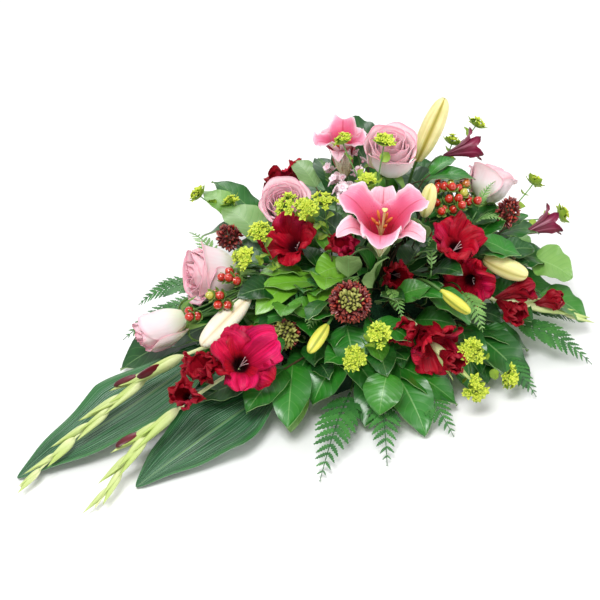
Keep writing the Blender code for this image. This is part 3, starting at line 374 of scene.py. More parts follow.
class Tree:
    """A node tree that grows by one call for each node."""

    def __init__(self, made):
        self.made = made

    def node(self, kind, inputs=None, **settings):
        """Adds a node. Inputs, by name or number, are plain values or values of the tree."""
        made = self.made.nodes.new(kind)
        for key, value in settings.items():
            setattr(made, key, value)
        for key, value in (inputs or {}).items():
            if isinstance(value, Value):
                self.made.links.new(value.socket, made.inputs[key])
            else:
                made.inputs[key].default_value = value
        return made

    def put(self, kind, inputs=None, out=0, **settings):
        """Adds a node and gives one of its outputs."""
        return Value(self, self.node(kind, inputs, **settings).outputs[out])

    def maths(self, operation, a, b=0.0):
        return self.put("ShaderNodeMath", {0: a, 1: b}, operation=operation)

    def vector(self, x, y, z):
        return self.put("ShaderNodeCombineXYZ", {0: x, 1: y, 2: z})

    def group(self, tree, **inputs):
        """Adds a node group and gives its outputs."""
        return [Value(self, s) for s in self.node("ShaderNodeGroup", inputs, node_tree=tree).outputs]

    def give(self, **outputs):
        for label, value in outputs.items():
            self.made.links.new(value.socket, self.end[label])
        return self.made

    def named(self, label, kind="FLOAT"):
        return self.put("GeometryNodeInputNamedAttribute", {"Name": label}, data_type=kind)

    def random(self, low, high, seed, extra):
        return self.put("FunctionNodeRandomValue", {2: low, 3: high, 8: seed + extra}, 1, data_type="FLOAT")


def node_group(name, kind, outputs, **inputs):
    """A new node group with its named sockets, and what comes in through each."""
    tree = Tree(bpy.data.node_groups.new(name, kind))
    for way, sockets in (("INPUT", inputs), ("OUTPUT", outputs)):
        for label, socket_type in sockets.items():
            tree.made.interface.new_socket(label, in_out=way, socket_type=socket_type)
    start = tree.made.nodes.new("NodeGroupInput").outputs
    tree.end = tree.made.nodes.new("NodeGroupOutput").inputs
    return tree, *[Value(tree, start[label]) for label in inputs]


def petal_lines_group():
    """The fine lines that run along a petal or a strap leaf: their share and their height."""
    outputs = {"Line": FLOAT, "Height": FLOAT}
    tree, across, up, tone, lines = node_group(
        "Petal lines", SHADER_TREE, outputs, Across=FLOAT, Along=FLOAT, Tone=FLOAT, Lines=FLOAT
    )
    place = tree.vector(across * lines, up * 2.5, tone * 37.0)
    noise = tree.put("ShaderNodeTexNoise", {"Vector": place, "Scale": 1.0, "Detail": 2.0})
    return tree.give(Line=noise.fade(0.35, 0.65), Height=noise)


def leaf_veins_group():
    """A midrib and pairs of side veins that lean to the tip, with the leaf raised a little between them."""
    outputs = {"Rib": FLOAT, "Vein": FLOAT, "Height": FLOAT}
    tree, across, up, pairs, lean = node_group(
        "Leaf veins", SHADER_TREE, outputs, Across=FLOAT, Along=FLOAT, Pairs=FLOAT, Lean=FLOAT
    )
    off = abs(across - 0.5) * 2.0
    steps = (up - off**1.3 * lean) * pairs
    beat = abs(tree.maths("FRACT", steps) - 0.5)
    rib = off.fade(0.055, 0.015)
    vein = beat.fade(0.42, 0.49) * off.fade(0.96, 0.70)
    return tree.give(Rib=rib, Vein=vein, Height=1.0 - (beat.fade(0.15, 0.5) * 0.6 + rib))


def mottle_group():
    """Soft patches of a lighter or darker shade, and a fine grain."""
    outputs = {"Patch": FLOAT, "Grain": FLOAT}
    tree, place, scale, sharpness = node_group(
        "Mottle", SHADER_TREE, outputs, Place=VECTOR, Scale=FLOAT, Sharpness=FLOAT
    )
    wide = tree.put("ShaderNodeTexNoise", {"Vector": place, "Scale": scale, "Detail": 3.0})
    fine = tree.put("ShaderNodeTexNoise", {"Vector": place, "Scale": scale * 12.0, "Detail": 2.0})
    reach = (1.0 - sharpness) * 0.3
    patch = tree.put("ShaderNodeMapRange", {0: wide, 1: 0.48 - reach, 2: reach + 0.52})
    return tree.give(Patch=patch, Grain=fine)


PETAL_LINES = petal_lines_group()
LEAF_VEINS = leaf_veins_group()
MOTTLE = mottle_group()


class Finish(Tree):
    """A material whose colour goes on in coats. Colours are screen values (0 to 255) or tree values."""

    def __init__(self, name, scatter=None, **constants):
        self.material = bpy.data.materials.new(name)
        self.material.use_nodes = True
        super().__init__(self.material.node_tree)
        self.inputs = self.made.nodes["Principled BSDF"].inputs
        for label, value in constants.items():
            self.inputs[label.replace("_", " ")].default_value = value
        if scatter:
            self.inputs["Subsurface Radius"].default_value = scatter
        spread = self.put("ShaderNodeUVMap", uv_map="UVMap")
        parts = self.node("ShaderNodeSeparateXYZ", {0: spread}).outputs
        self.across, self.up = Value(self, parts[0]), Value(self, parts[1])
        self.off = abs(self.across - 0.5) * 2.0

    def given(self, label):
        """An attribute of the mesh."""
        return self.put("ShaderNodeAttribute", None, "Fac", attribute_name=label)

    def here(self):
        return self.put("ShaderNodeTexCoord", None, "Object")

    def lines(self, count, tone=0.5):
        """The share of fine lines here, and their height."""
        return self.group(PETAL_LINES, Across=self.across, Along=self.up, Tone=tone, Lines=count)

    def mottle(self, scale, sharpness=0.5):
        """The share of soft patches here, and a fine grain."""
        return self.group(MOTTLE, Place=self.here(), Scale=scale, Sharpness=sharpness)

    def cells(self, scale):
        return self.put("ShaderNodeTexVoronoi", {"Vector": self.here(), "Scale": scale})

    def blend(self, share, a, b):
        a, b = [paint(*c) if isinstance(c, tuple) else c for c in (a, b)]
        return self.put("ShaderNodeMix", {0: share, 6: a, 7: b}, 2, data_type="RGBA")

    def base(self, share, a, b):
        self.body = self.blend(share, a, b)

    def coat(self, colour, share):
        """A colour over what is there."""
        self.body = self.blend(share, self.body, colour)

    def rough(self, value):
        self.made.links.new(value.socket, self.inputs["Roughness"])

    def done(self, height=None, strength=0.3, depth=0.0006):
        self.made.links.new(self.body.socket, self.inputs["Base Color"])
        if height:
            bump = self.put("ShaderNodeBump", {"Height": height, "Strength": strength, "Distance": depth})
            self.made.links.new(bump.socket, self.inputs["Normal"])
        return self.material


# Finishes


def rose_petal_finish():
    """Pale pink, deeper at the heart and along the lips, cream-green towards the foot of the outer petals."""
    f = Finish(
        "rose petal", (1.0, 0.6, 0.6), Roughness=0.55, Subsurface_Weight=0.4, Subsurface_Scale=0.005,
        Specular_IOR_Level=0.3,
    )
    tone = f.given("tone")
    line, height = f.lines(30.0, tone)
    f.base(tone.fade(0.0, 0.55), (255, 200, 211), (255, 242, 243))
    f.coat((255, 214, 220), f.mottle(70.0)[0] * 0.25)
    f.coat((255, 188, 204), f.up.fade(0.30, 0.85) * 0.45)
    f.coat((244, 246, 204), f.up.fade(0.58, 0.14) * tone.fade(0.15, 0.7))
    f.coat((232, 110, 146), f.maths("MAXIMUM", f.up, f.off).fade(0.90, 1.0) * 0.6)
    f.coat((248, 178, 194), line * 0.12)
    f.coat((255, 232, 228), f.given("side") * 0.20)
    return f.done(height, 0.25)


def lily_petal_finish():
    """Crimson throat, through pink, to near-white edges, with a dark midrib and a green-yellow foot."""
    f = Finish(
        "lily petal", (1.0, 0.3, 0.35), Roughness=0.42, Subsurface_Weight=0.2, Subsurface_Scale=0.004,
        Sheen_Weight=0.1,
    )
    tone = f.given("tone")
    line, height = f.lines(46.0, tone)
    blush = f.up + f.off * f.off * 0.28
    f.base(blush.fade(0.32, 0.76), (200, 18, 60), (220, 100, 140))
    f.coat((246, 184, 204), blush.fade(0.60, 1.08))
    f.coat((252, 218, 226), tone.fade(0.5, 0.6) * f.up.fade(0.40, 0.75) * 0.6)
    f.coat((255, 238, 243), f.off.fade(0.72, 1.0) * f.up.fade(0.35, 0.75) * 0.85)
    rib = f.off.fade(0.08, 0.01) * f.up.fade(0.98, 0.7)
    f.coat((184, 24, 62), rib * 0.6)
    f.coat((212, 62, 106), line * 0.25)
    f.coat((176, 168, 56), f.up.fade(0.20, 0.07))
    outside = f.blend(f.off.fade(0.05, 0.7), (224, 128, 146), (250, 222, 226))
    f.coat(f.blend(f.up.fade(0.5, 0.1), outside, (214, 214, 160)), f.given("side"))
    warts = f.cells(420.0).fade(0.35, 0.1) * f.up.fade(0.6, 0.35)
    f.coat((150, 14, 44), warts * 0.7)
    return f.done(height - rib + warts, 0.45, 0.0009)


def gladiolus_petal_finish():
    """Red velvet: crimson under painted magenta sheen at tone 0, scarlet at 0.3, maroon from 0.7, with
    painted magenta highlights in patches and painted shade that darkens the throat to near-black.
    """
    f = Finish(
        "gladiolus petal", (1.0, 0.1, 0.15), Roughness=0.5, Subsurface_Weight=0.1, Subsurface_Scale=0.003,
        Specular_IOR_Level=0.22,
    )
    tone = f.given("tone")
    line, height = f.lines(30.0, tone)
    patch = f.mottle(34.0, 0.3)[0]
    # Soft patches of darker and brighter red: partly the petals' own colour, partly painted light and shade
    f.base(patch, (146, 4, 24), (212, 14, 48))
    # Painted magenta sheen over the petals of low tone, growing towards their ends
    f.coat((236, 30, 104), tone.fade(0.20, 0.0) * f.up.fade(0.2, 0.7) * patch.fade(-0.6, 0.8))
    # Painted magenta highlights in patches, from mid-petal to the end
    f.coat((224, 20, 106), f.mottle(21.0, 0.6)[0].fade(0.4, 1.0) * f.up.fade(0.40, 0.75) * 0.45)
    f.coat((84, 4, 16), f.off.fade(0.84, 1.0) * 0.5)
    f.coat((92, 4, 16), line * 0.38)
    # Painted shade: the throat darkens to near-black
    f.coat((46, 3, 12), f.up.fade(0.52, 0.18))
    f.coat((120, 6, 22), f.given("side") * 0.45)
    f.coat((140, 8, 26), tone.fade(0.5, 0.75) * 0.6)
    return f.done(height - f.off.fade(0.08, 0.0), 0.5, 0.0009)


def alstroemeria_petal_finish():
    """Magenta-maroon with dark tips and a pale streak along the outside."""
    f = Finish("alstroemeria petal", Roughness=0.42, Sheen_Weight=0.1)
    line, height = f.lines(16.0, f.given("tone"))
    f.base(f.up.fade(0.15, 0.8), (112, 14, 48), (150, 26, 74))
    f.coat((84, 8, 36), f.up.fade(0.80, 1.0) * 0.8)
    f.coat((70, 8, 30), line * 0.5)
    f.coat((196, 110, 140), f.given("side") * f.off.fade(0.25, 0.0) * f.up.fade(0.9, 0.4) * 0.5)
    return f.done(height, 0.4, 0.0005)


def bud_skin_finish(name, pale, groove, deep, foot):
    """The skin of a closed bud: pale ridges, narrow darker grooves, a coloured foot and tip."""
    f = Finish(name, Roughness=0.42, Subsurface_Weight=0.15, Subsurface_Scale=0.003)
    ridge = f.maths("COSINE", f.across * (6 * math.pi))
    line, height = f.lines(40.0, 0.3)
    f.base(ridge.fade(-1.0, -0.55), groove, pale)
    f.coat(deep, ridge.fade(-0.95, -1.0) * 0.6)
    f.coat(groove, line * 0.25)
    f.coat(groove, f.mottle(60.0)[0] * 0.3)
    f.coat(foot, f.up.fade(0.16, 0.0) * 0.8)
    f.coat(deep, f.up.fade(0.92, 1.0) * 0.6)
    return f.done(height, 0.35)


def broad_leaf_finish(name, dark, middle, bright, palest, back, vein):
    """A glossy leaf with a green for each tone: 0, 0.5, 1 and above. Veins are lighter, undersides pale."""
    f = Finish(name, Coat_Roughness=0.28, Coat_Weight=0.45, Specular_IOR_Level=0.5)
    tone, side = f.given("tone"), f.given("side")
    rib, veins, height = f.group(LEAF_VEINS, Across=f.across, Along=f.up, Pairs=8.0, Lean=0.24)
    patch, grain = f.mottle(55.0, 0.2)
    f.base(tone.fade(0.0, 0.5), dark, middle)
    f.coat(bright, tone.fade(0.5, 1.0))
    f.coat(palest, tone.fade(1.0, 1.2))
    f.coat(middle, patch * 0.25)
    f.coat(dark, f.off.fade(0.4, 1.0) * tone.fade(1.1, 0.4) * 0.3)
    f.coat(vein, veins * 0.10)
    f.coat(middle, veins * tone.fade(0.9, 1.2) * 0.35)
    f.coat(vein, rib * 0.35)
    f.coat(f.blend(f.maths("MAXIMUM", veins, rib), back, vein), side)
    f.rough(grain * 0.16 + 0.30 + side * 0.25)
    return f.done(height, 0.4, 0.0007)


def strap_leaf_finish():
    """Aspidistra: dark green, with white streaks of sheen between fine ribs, and a bright green edge."""
    f = Finish("aspidistra leaf", Coat_Weight=0.15, Coat_Roughness=0.3)
    rib_line, rib_height = f.lines(110.0)
    f.base(rib_line, (9, 54, 28), (28, 92, 46))
    f.coat((60, 130, 76), f.lines(12.0, 0.7)[0] * 0.35)
    for count, tone, strength in ((44.0, 0.2, 0.85), (29.0, 0.9, 0.60)):
        beat = abs(f.maths("FRACT", f.across * count) - 0.5)
        f.coat((190, 216, 198), beat.fade(0.40, 0.49) * f.lines(9.0, tone)[0] * strength)
    f.coat((56, 134, 48), f.off.fade(0.72, 1.0) * 0.35)
    rib = f.off.fade(0.035, 0.01)
    f.coat((130, 170, 110), rib * 0.7)
    f.coat((66, 110, 62), f.given("side") * 0.5)
    f.rough(rib_line * 0.14 + 0.32)
    return f.done(rib_height + rib * 0.5, 0.45, 0.0008)


def plain_green_finish(name, dark, bright, roughness, scale):
    """Stems, fern and small foliage: two greens in soft patches, each copy a little different."""
    f = Finish(name, Roughness=roughness)
    patch, grain = f.mottle(scale, 0.2)
    f.base((f.given("shade") + patch) * 0.5, dark, bright)
    f.coat(dark, grain.fade(0.45, 0.7) * 0.3)
    return f.done(grain, 0.5, 0.0004)


def skin_finish(name, low, high, roughness, coat, scale=140.0, spread=(0.2, 0.9)):
    """Small round or pointed things, coloured from their foot to their tip and a little different each."""
    f = Finish(name, Roughness=roughness, Coat_Weight=coat, Coat_Roughness=0.1)
    patch, grain = f.mottle(scale)
    f.base(f.up.fade(*spread) + f.given("shade") * 0.35, low, high)
    f.coat(low, patch * 0.3)
    return f.done(grain, 0.25, 0.0004)


def skimmia_finish():
    """Small pointed buds: maroon, rust red or dusty pink towards their tips, no two quite alike."""
    f = Finish("skimmia bud", Roughness=0.42, Coat_Weight=0.1, Coat_Roughness=0.1)
    shade = f.given("shade")
    f.base(f.up.fade(0.55, 1.05), (98, 12, 16), (198, 104, 88))
    f.coat((182, 54, 34), shade.fade(0.62, 0.72) * f.up.fade(0.5, 0.7) * 0.6)
    f.coat((84, 12, 22), shade.fade(0.34, 0.22) * 0.7)
    return f.done(f.mottle(180.0)[1], 0.25, 0.0004)


def berry_finish():
    """Shiny orange-red berries, darker in patches, with a few that are still yellow-green."""
    f = Finish("hypericum berry", Roughness=0.14, Coat_Weight=1.0, Coat_Roughness=0.1)
    patch, grain = f.mottle(160.0)
    f.base(f.up.fade(0.2, 0.9), (150, 16, 8), (214, 50, 26))
    f.coat((140, 14, 8), patch * 0.3)
    f.coat((186, 196, 74), f.given("shade").fade(0.86, 0.88) * 0.85)
    return f.done(grain, 0.25, 0.0004)


def foam_finish():
    """Wet floral foam: dark green, partly its own colour and partly painted shade where it shows between the
    blooms, with an open grain and paler crumbs.
    """
    f = Finish("floral foam", Roughness=0.92, Specular_IOR_Level=0.2)
    patch, grain = f.mottle(40.0, 0.2)
    cells = f.cells(900.0)
    # Dark greens: partly the foam's own colour, partly painted shade for the gaps between the blooms
    f.base(patch, (14, 44, 26), (28, 70, 40))
    f.coat((10, 32, 20), cells.fade(0.3, 0.9))
    return f.done(cells + grain, 0.8, 0.0008)


def tray_finish():
    """Dark green moulded plastic with a fine matt grain and a few pale scuffs."""
    f = Finish("tray plastic", Specular_IOR_Level=0.45)
    patch, grain = f.mottle(30.0, 0.1)
    f.base(patch, (16, 46, 30), (22, 58, 38))
    f.coat((80, 110, 88), grain.fade(0.58, 0.70) * 0.25)
    f.rough(grain * 0.2 + 0.38)
    return f.done(grain, 0.15, 0.0003)


def floor_finish():
    f = Finish("studio floor", Roughness=0.6, Specular_IOR_Level=0.3)
    f.base(f.mottle(3.0)[0], (250, 250, 250), (252, 252, 252))
    return f.done()


ROSE = rose_petal_finish()
LILY = lily_petal_finish()
GLADIOLUS = gladiolus_petal_finish()
ALSTROEMERIA = alstroemeria_petal_finish()
CREAM_BUD = bud_skin_finish("cream bud", (252, 246, 226), (234, 220, 184), (206, 176, 134), (206, 164, 116))
PALE_BUD = bud_skin_finish("pale bud", (248, 240, 172), (216, 208, 122), (170, 160, 80), (176, 184, 96))
TOP_BUD = bud_skin_finish("yellow bud", (252, 244, 180), (186, 172, 72), (122, 112, 42), (180, 120, 52))
GREEN_BUD = bud_skin_finish("green bud", (230, 224, 92), (158, 172, 54), (140, 130, 50), (120, 160, 60))
GLOSSY_LEAF = broad_leaf_finish(
    "glossy leaf", (10, 58, 20), (38, 122, 26), (120, 180, 46),
    (136, 168, 110), (150, 184, 112), (156, 200, 124),
)
STRAP_LEAF = strap_leaf_finish()
STEM = plain_green_finish("green stem", (60, 104, 44), (112, 150, 70), 0.45, 60.0)
TWIG = plain_green_finish("brown twig", (70, 50, 32), (104, 92, 54), 0.6, 80.0)
FERN = plain_green_finish("fern leaflet", (22, 80, 36), (82, 150, 68), 0.42, 40.0)
SPRIG = plain_green_finish("sprig leaf", (70, 124, 52), (156, 198, 110), 0.4, 50.0)
SEPAL = plain_green_finish("sepal", (88, 132, 54), (150, 178, 84), 0.5, 90.0)
UMBEL_LEAF = plain_green_finish("bupleurum leaf", (120, 160, 40), (190, 210, 80), 0.5, 90.0)
UMBEL = skin_finish("bupleurum floret", (140, 172, 34), (222, 232, 78), 0.5, 0.0, 200.0)
BERRY = berry_finish()
SKIMMIA = skimmia_finish()
SKIMMIA_GREEN = skin_finish("green skimmia bud", (92, 108, 40), (178, 176, 92), 0.45, 0.0, 180.0)
WAXFLOWER = skin_finish("waxflower petal", (236, 120, 160), (255, 240, 246), 0.4, 0.1, 300.0, (0.0, 0.55))
BRACT = skin_finish("gladiolus bract", (176, 198, 104), (226, 232, 176), 0.42, 0.0, 60.0, (0.9, 0.1))
BUD_TIP = skin_finish("gladiolus bud tip", (104, 8, 26), (70, 5, 18), 0.34, 0.1, 120.0)
ANTHER = skin_finish("anther", (176, 84, 30), (220, 132, 56), 0.8, 0.0, 400.0)
STIGMA = skin_finish("stigma", (222, 206, 110), (242, 232, 150), 0.4, 0.2, 200.0)
FILAMENT = skin_finish("filament", (222, 206, 140), (236, 160, 130), 0.4, 0.0, 100.0)
PALE_FILAMENT = skin_finish("pale filament", (236, 214, 214), (250, 240, 240), 0.4, 0.0, 100.0)


# Trees that grow what repeats or follows a path


def ended(tree, shape, finish):
    """Each tree ends here: its copies are made real and take their material."""
    real = tree.put("GeometryNodeRealizeInstances", {0: shape})
    return tree.give(Shape=tree.put("GeometryNodeSetMaterial", {0: real, 2: finish}))


def tube(tree, curve, sides):
    """A tube along a curve, as thick as its girth attribute says."""
    ring = tree.put("GeometryNodeCurvePrimitiveCircle", {0: sides, 4: 1.0})
    return tree.put("GeometryNodeCurveToMesh", {0: curve, 1: ring, 2: tree.named("girth"), 3: True})


def scattered(tree, points, copy, turn, size, shade, kept=True):
    """A copy on each point, turned and in its size, with a shade of its own."""
    shape = tree.put("GeometryNodeObjectInfo", {0: copy, 1: True}, "Geometry")
    inputs = {0: points, 1: kept, 2: shape, 5: turn, 6: size}
    placed = tree.put("GeometryNodeInstanceOnPoints", inputs)
    named = {0: placed, "Name": "shade", 3: shade}
    return tree.put("GeometryNodeStoreNamedAttribute", named, domain="INSTANCE")


def spun(tree, turn, angle):
    """A rotation followed by a turn about its own Z."""
    spin = tree.put("FunctionNodeAxisAngleToRotation", {0: (0, 0, 1), 1: angle})
    return tree.put("FunctionNodeRotateRotation", {0: turn, 1: spin}, rotation_space="LOCAL")


def towards(tree, way):
    return tree.put("FunctionNodeAlignRotationToVector", {2: way}, axis="Z")


def stem_tree():
    """Tubes along the edges of a mesh."""
    tree, shape, sides, finish = node_group(
        "Stems along paths", GEOMETRY_TREE, {"Shape": GEOMETRY}, Shape=GEOMETRY, Sides=WHOLE, Finish=MATERIAL
    )
    skin = tube(tree, tree.put("GeometryNodeMeshToCurve", {0: shape}), sides)
    return ended(tree, tree.put("GeometryNodeSetShadeSmooth", {0: skin}), finish)


def copies_tree():
    """A copy on each point, turned to the point's facing and spin, with a little change in its size."""
    tree, shape, copy, change, seed, finish = node_group(
        "Copies on points", GEOMETRY_TREE, {"Shape": GEOMETRY},
        Shape=GEOMETRY, Copy=OBJECT, Change=FLOAT, Seed=WHOLE, Finish=MATERIAL,
    )
    turn = spun(tree, towards(tree, tree.named("facing", "FLOAT_VECTOR")), tree.named("spin"))
    size = tree.named("size") * (tree.random(-1.0, 1.0, seed, 0) * change + 1.0)
    return ended(tree, scattered(tree, shape, copy, turn, size, tree.random(0.0, 1.0, seed, 7)), finish)


def dome_tree():
    """Buds packed over a dome by the golden angle, each turned outwards with a little tilt."""
    tree, _, bud, count, first, last, radius, stretch, cover, bud_size, tilt, seed, finish = node_group(
        "Buds over a dome", GEOMETRY_TREE, {"Shape": GEOMETRY},
        Shape=GEOMETRY, Bud=OBJECT, Count=WHOLE, First=WHOLE, Last=WHOLE, Radius=FLOAT, Stretch=FLOAT,
        Cover=FLOAT, Size=FLOAT, Tilt=FLOAT, Seed=WHOLE, Finish=MATERIAL,
    )
    index = tree.put("GeometryNodeInputIndex")
    share = (index + 0.5) / count
    up = 1.0 - share * 2.0 * cover
    out = tree.maths("SQRT", 1.0 - up * up)
    turn = index * GOLDEN_ANGLE
    x = tree.maths("COSINE", turn) * out
    y = tree.maths("SINE", turn) * out
    flat = tree.vector(x, y, up * stretch)
    place = tree.put("ShaderNodeVectorMath", {0: flat, 3: radius}, operation="SCALE")
    points = tree.put("GeometryNodePoints", {0: count, 1: place})
    kept = tree.maths("GREATER_THAN", index, first - 0.5) * tree.maths("LESS_THAN", index, last - 0.5)
    sway = tree.vector(*[tree.random(tilt * -1.0, tilt, seed, extra) for extra in (1, 2, 3)])
    way = tree.put("ShaderNodeVectorMath", {0: tree.vector(x, y, up), 1: sway}, operation="ADD")
    size = bud_size * tree.random(0.8, 1.15, seed, 4)
    shade = tree.random(0.0, 1.0, seed, 5)
    return ended(tree, scattered(tree, points, bud, towards(tree, way), size, shade, kept), finish)


def frond_tree():
    """A fern frond: leaflets in pairs along a rib, longest near the foot and short at the tip."""
    tree, shape, right, left, pairs, width, bare, lean, side, seed, finish = node_group(
        "Fern frond", GEOMETRY_TREE, {"Shape": GEOMETRY},
        Shape=GEOMETRY, Right=OBJECT, Left=OBJECT, Pairs=WHOLE, Width=FLOAT, Bare=FLOAT, Lean=FLOAT,
        Side=VECTOR, Seed=WHOLE, Finish=MATERIAL,
    )
    curve = tree.put("GeometryNodeMeshToCurve", {0: shape})
    leafy = tree.put("GeometryNodeTrimCurve", {0: curve, 2: bare, 3: 0.985}, mode="FACTOR")
    spaced = tree.put("GeometryNodeResampleCurve", {0: leafy, 2: pairs}, mode="COUNT")
    share = tree.put("GeometryNodeSplineParameter")
    reach = (1.02 - share) ** 0.75 * (share.fade(0.0, 0.2) * 0.28 + 0.72) * width
    tangent = tree.put("GeometryNodeInputTangent")
    axes = {0: tangent, 1: side}
    turn = tree.put("FunctionNodeAxesToRotation", axes, primary_axis="Y", secondary_axis="X")
    joined = tree.node("GeometryNodeJoinGeometry", {0: tube(tree, curve, 6)})
    for hand, leaflet in ((1.0, right), (-1.0, left)):
        leaned = spun(tree, turn, (lean + tree.random(-0.09, 0.09, seed, 1 + hand)) * hand)
        size = reach * tree.random(0.92, 1.06, seed, 5 + hand)
        marked = scattered(tree, spaced, leaflet, leaned, size, tree.random(0.0, 1.0, seed, 9 + hand))
        tree.made.links.new(marked.socket, joined.inputs[0])
    return ended(tree, tree.put("GeometryNodeSetShadeSmooth", {0: Value(tree, joined.outputs[0])}), finish)


STEMS = stem_tree()
COPIES = copies_tree()
DOME = dome_tree()
FROND = frond_tree()


def grown(name, source, tree, matrix=None, **values):
    """The plain mesh that a tree grows from a source mesh. The tree's modifier is gone with the source."""
    obj = linked(name, source)
    modifier = obj.modifiers.new("grow", "NODES")
    modifier.node_group = tree
    for item in tree.interface.items_tree:
        if item.in_out == "INPUT" and item.name in values:
            modifier[item.identifier] = values[item.name]
    graph = bpy.context.evaluated_depsgraph_get()
    made = bpy.data.meshes.new_from_object(obj.evaluated_get(graph), depsgraph=graph)
    bpy.data.objects.remove(obj)
    if matrix is not None:
        made.transform(matrix)
    return made


def path_mesh(paths):
    """Lines for the stem tree. Each path is (points, radius at its start, radius at its end)."""
    mesh = bpy.data.meshes.new("paths")
    points, edges, girths = [], [], []
    for path, thick, thin in paths:
        first = len(points)
        points += [tuple(p) for p in path]
        edges += [(k, k + 1) for k in range(first, len(points) - 1)]
        girths += list(np.linspace(thick, thin, len(path)))
    mesh.from_pydata(points, edges, [])
    mesh.attributes.new("girth", "FLOAT", "POINT").data.foreach_set("value", girths)
    return mesh


def point_mesh(places):
    """Points for the copies tree. Each place is (point, facing, spin, size)."""
    mesh = bpy.data.meshes.new("points")
    points, ways, spins, sizes = zip(*places)
    mesh.from_pydata([tuple(p) for p in points], [], [])
    ways = np.array([tuple(way) for way in ways], np.float32).ravel()
    mesh.attributes.new("facing", "FLOAT_VECTOR", "POINT").data.foreach_set("vector", ways)
    mesh.attributes.new("spin", "FLOAT", "POINT").data.foreach_set("value", spins)
    mesh.attributes.new("size", "FLOAT", "POINT").data.foreach_set("value", sizes)
    return mesh


def stems(name, paths, finish, slot, *nodes, sides=8):
    stand(name, grown(name, path_mesh(paths), STEMS, Sides=sides, Finish=finish), slot, *nodes)


def head_stem(name, enters, base, way, thick, thin, finish=STEM):
    """The stem from a foot in the foam to a head."""
    stems(name + "_stem", [(stem_path(enters, base, way), thick, thin)], finish, "salal")


def copies(name, places, mould, finish, slot, *nodes, change=0.1, seed=1):
    mesh = grown(name, point_mesh(places), COPIES, Copy=mould, Change=change, Seed=seed, Finish=finish)
    stand(name, mesh, slot, *nodes)


MOULDS = []


def mould(name, pile, finish):
    """An object that the trees copy. It is removed at the end."""
    MOULDS.append(linked(name, pile.mesh(name, finish)))
    return MOULDS[-1]


# Leaves


def leaf_width(share):
    """Half width along an oval leaf with a short point, as a share of the widest."""
    oval = np.sin(math.pi * np.clip(share, 0, 1) ** 0.80) ** 0.66
    return np.maximum(oval * (1 - 0.22 * rise_between(share, 0.80, 1.0)), 0.015)


def leaf_grid(base, tip, width, arch, roll, phase=0.0, wave=0.05, steps=(19, 11)):
    """Rows across a leaf from its foot to its tip, folded along its rib, with waved edges."""
    n, m = steps
    chord = tip - base
    length = chord.length
    y = chord / length
    side = y.cross(UP)
    side = side.normalized() if side.length > 0.05 else Vector((1, 0, 0))
    side = Matrix.Rotation(math.radians(roll), 3, y) @ side
    v = np.linspace(0, 1, n)[:, None]
    u = np.linspace(-1, 1, m)[None, :]
    half = width / 2 * leaf_width(v)
    bend = arch * 4 * v * (1 - v)
    fold = half * LEAF_FOLD * (np.sqrt(u**2 + 0.03) - 0.17)
    ripple = width * wave * np.sin(2 * math.pi * 1.6 * v + phase) * np.abs(u) ** 2 * np.sign(u)
    ripple = ripple + width * wave * 0.5 * np.sin(2 * math.pi * 3.4 * v + 2.1 * phase) * u**2
    grid = np.array(base) + np.array(y) * (length * v)[..., None] + np.array(side) * (half * u)[..., None]
    return grid + np.array(side.cross(y)) * (bend + fold + ripple)[..., None]


def twig_leaves(name, path, leaves, *nodes):
    """Leaves on one stem: (share of the stem, tip, width, arch, roll, tone)."""
    pile = Pile()
    for k, (share, tip, width, arch, roll, tone) in enumerate(leaves):
        base = along(path, share)[0]
        pile.sheet(leaf_grid(base, tip, width, arch, roll, 1.7 * k + share), LEAF_THICKNESS, tone)
    pile.stand(name, GLOSSY_LEAF, "salal", *nodes)


def turned_aside(way, turn, out=1.0):
    """A direction that leans out from a twig's own by a share of it, and turns round it."""
    return Matrix.Rotation(turn, 3, way) @ (way + way.orthogonal().normalized() * out).normalized()


# Flowers


def tepal(
    rows, turn, phase, ruffle=0.2, waves=3.0, cup=0.25, steps=(25, 13), crease=0.0, crumple=0.0, twist=0.0
):
    """A petal round +Z through rows of (height, distance out, half width) from its foot to its tip."""
    n, m = steps
    height, out, half = smooth_rows(rows, n).T
    half = np.maximum(half, 0.0003)[:, None]
    u = np.linspace(1, -1, m)[None, :]
    v = np.linspace(0, 1, n)[:, None]
    slope = np.gradient(np.stack([height, out], 1), axis=0)
    slope /= np.linalg.norm(slope, axis=1, keepdims=True)
    frill = np.sin(2 * math.pi * waves * v + phase + 1.9 * np.sign(u)) * np.abs(u) ** 2.2
    ripple = 0.4 * np.sin(2 * math.pi * 2.7 * waves * v + 2 * phase) * u**4
    frill = (frill + ripple) * rise_between(v, 0.2, 0.6)
    folds = np.sin(2.4 * math.pi * u + 2.2 * phase + 2.0 * v)
    folds = folds + 0.6 * np.sin(5.1 * math.pi * u - phase + 3.0 * v)
    bent = (crumple * folds + twist * u) * rise_between(v, 0.30, 0.75)
    lift = half * (cup * u**2 + ruffle * frill + crease * np.abs(u) + bent)
    z = height[:, None] + slope[:, 1:2] * lift
    r = out[:, None] - slope[:, 0:1] * lift
    x = half * u
    return np.stack([r * math.cos(turn) - x * math.sin(turn), r * math.sin(turn) + x * math.cos(turn), z], 2)


def star(pile, rows, thickness, cup, steps, place=None, first=0.0, ruffle=0.1, waves=1.0):
    """Five small petals alike, in a ring."""
    for k in range(5):
        grid = tepal(rows, 2 * math.pi * k / 5 + first, k, ruffle, waves, cup, steps)
        pile.sheet(grid, thickness, 0.5, place)


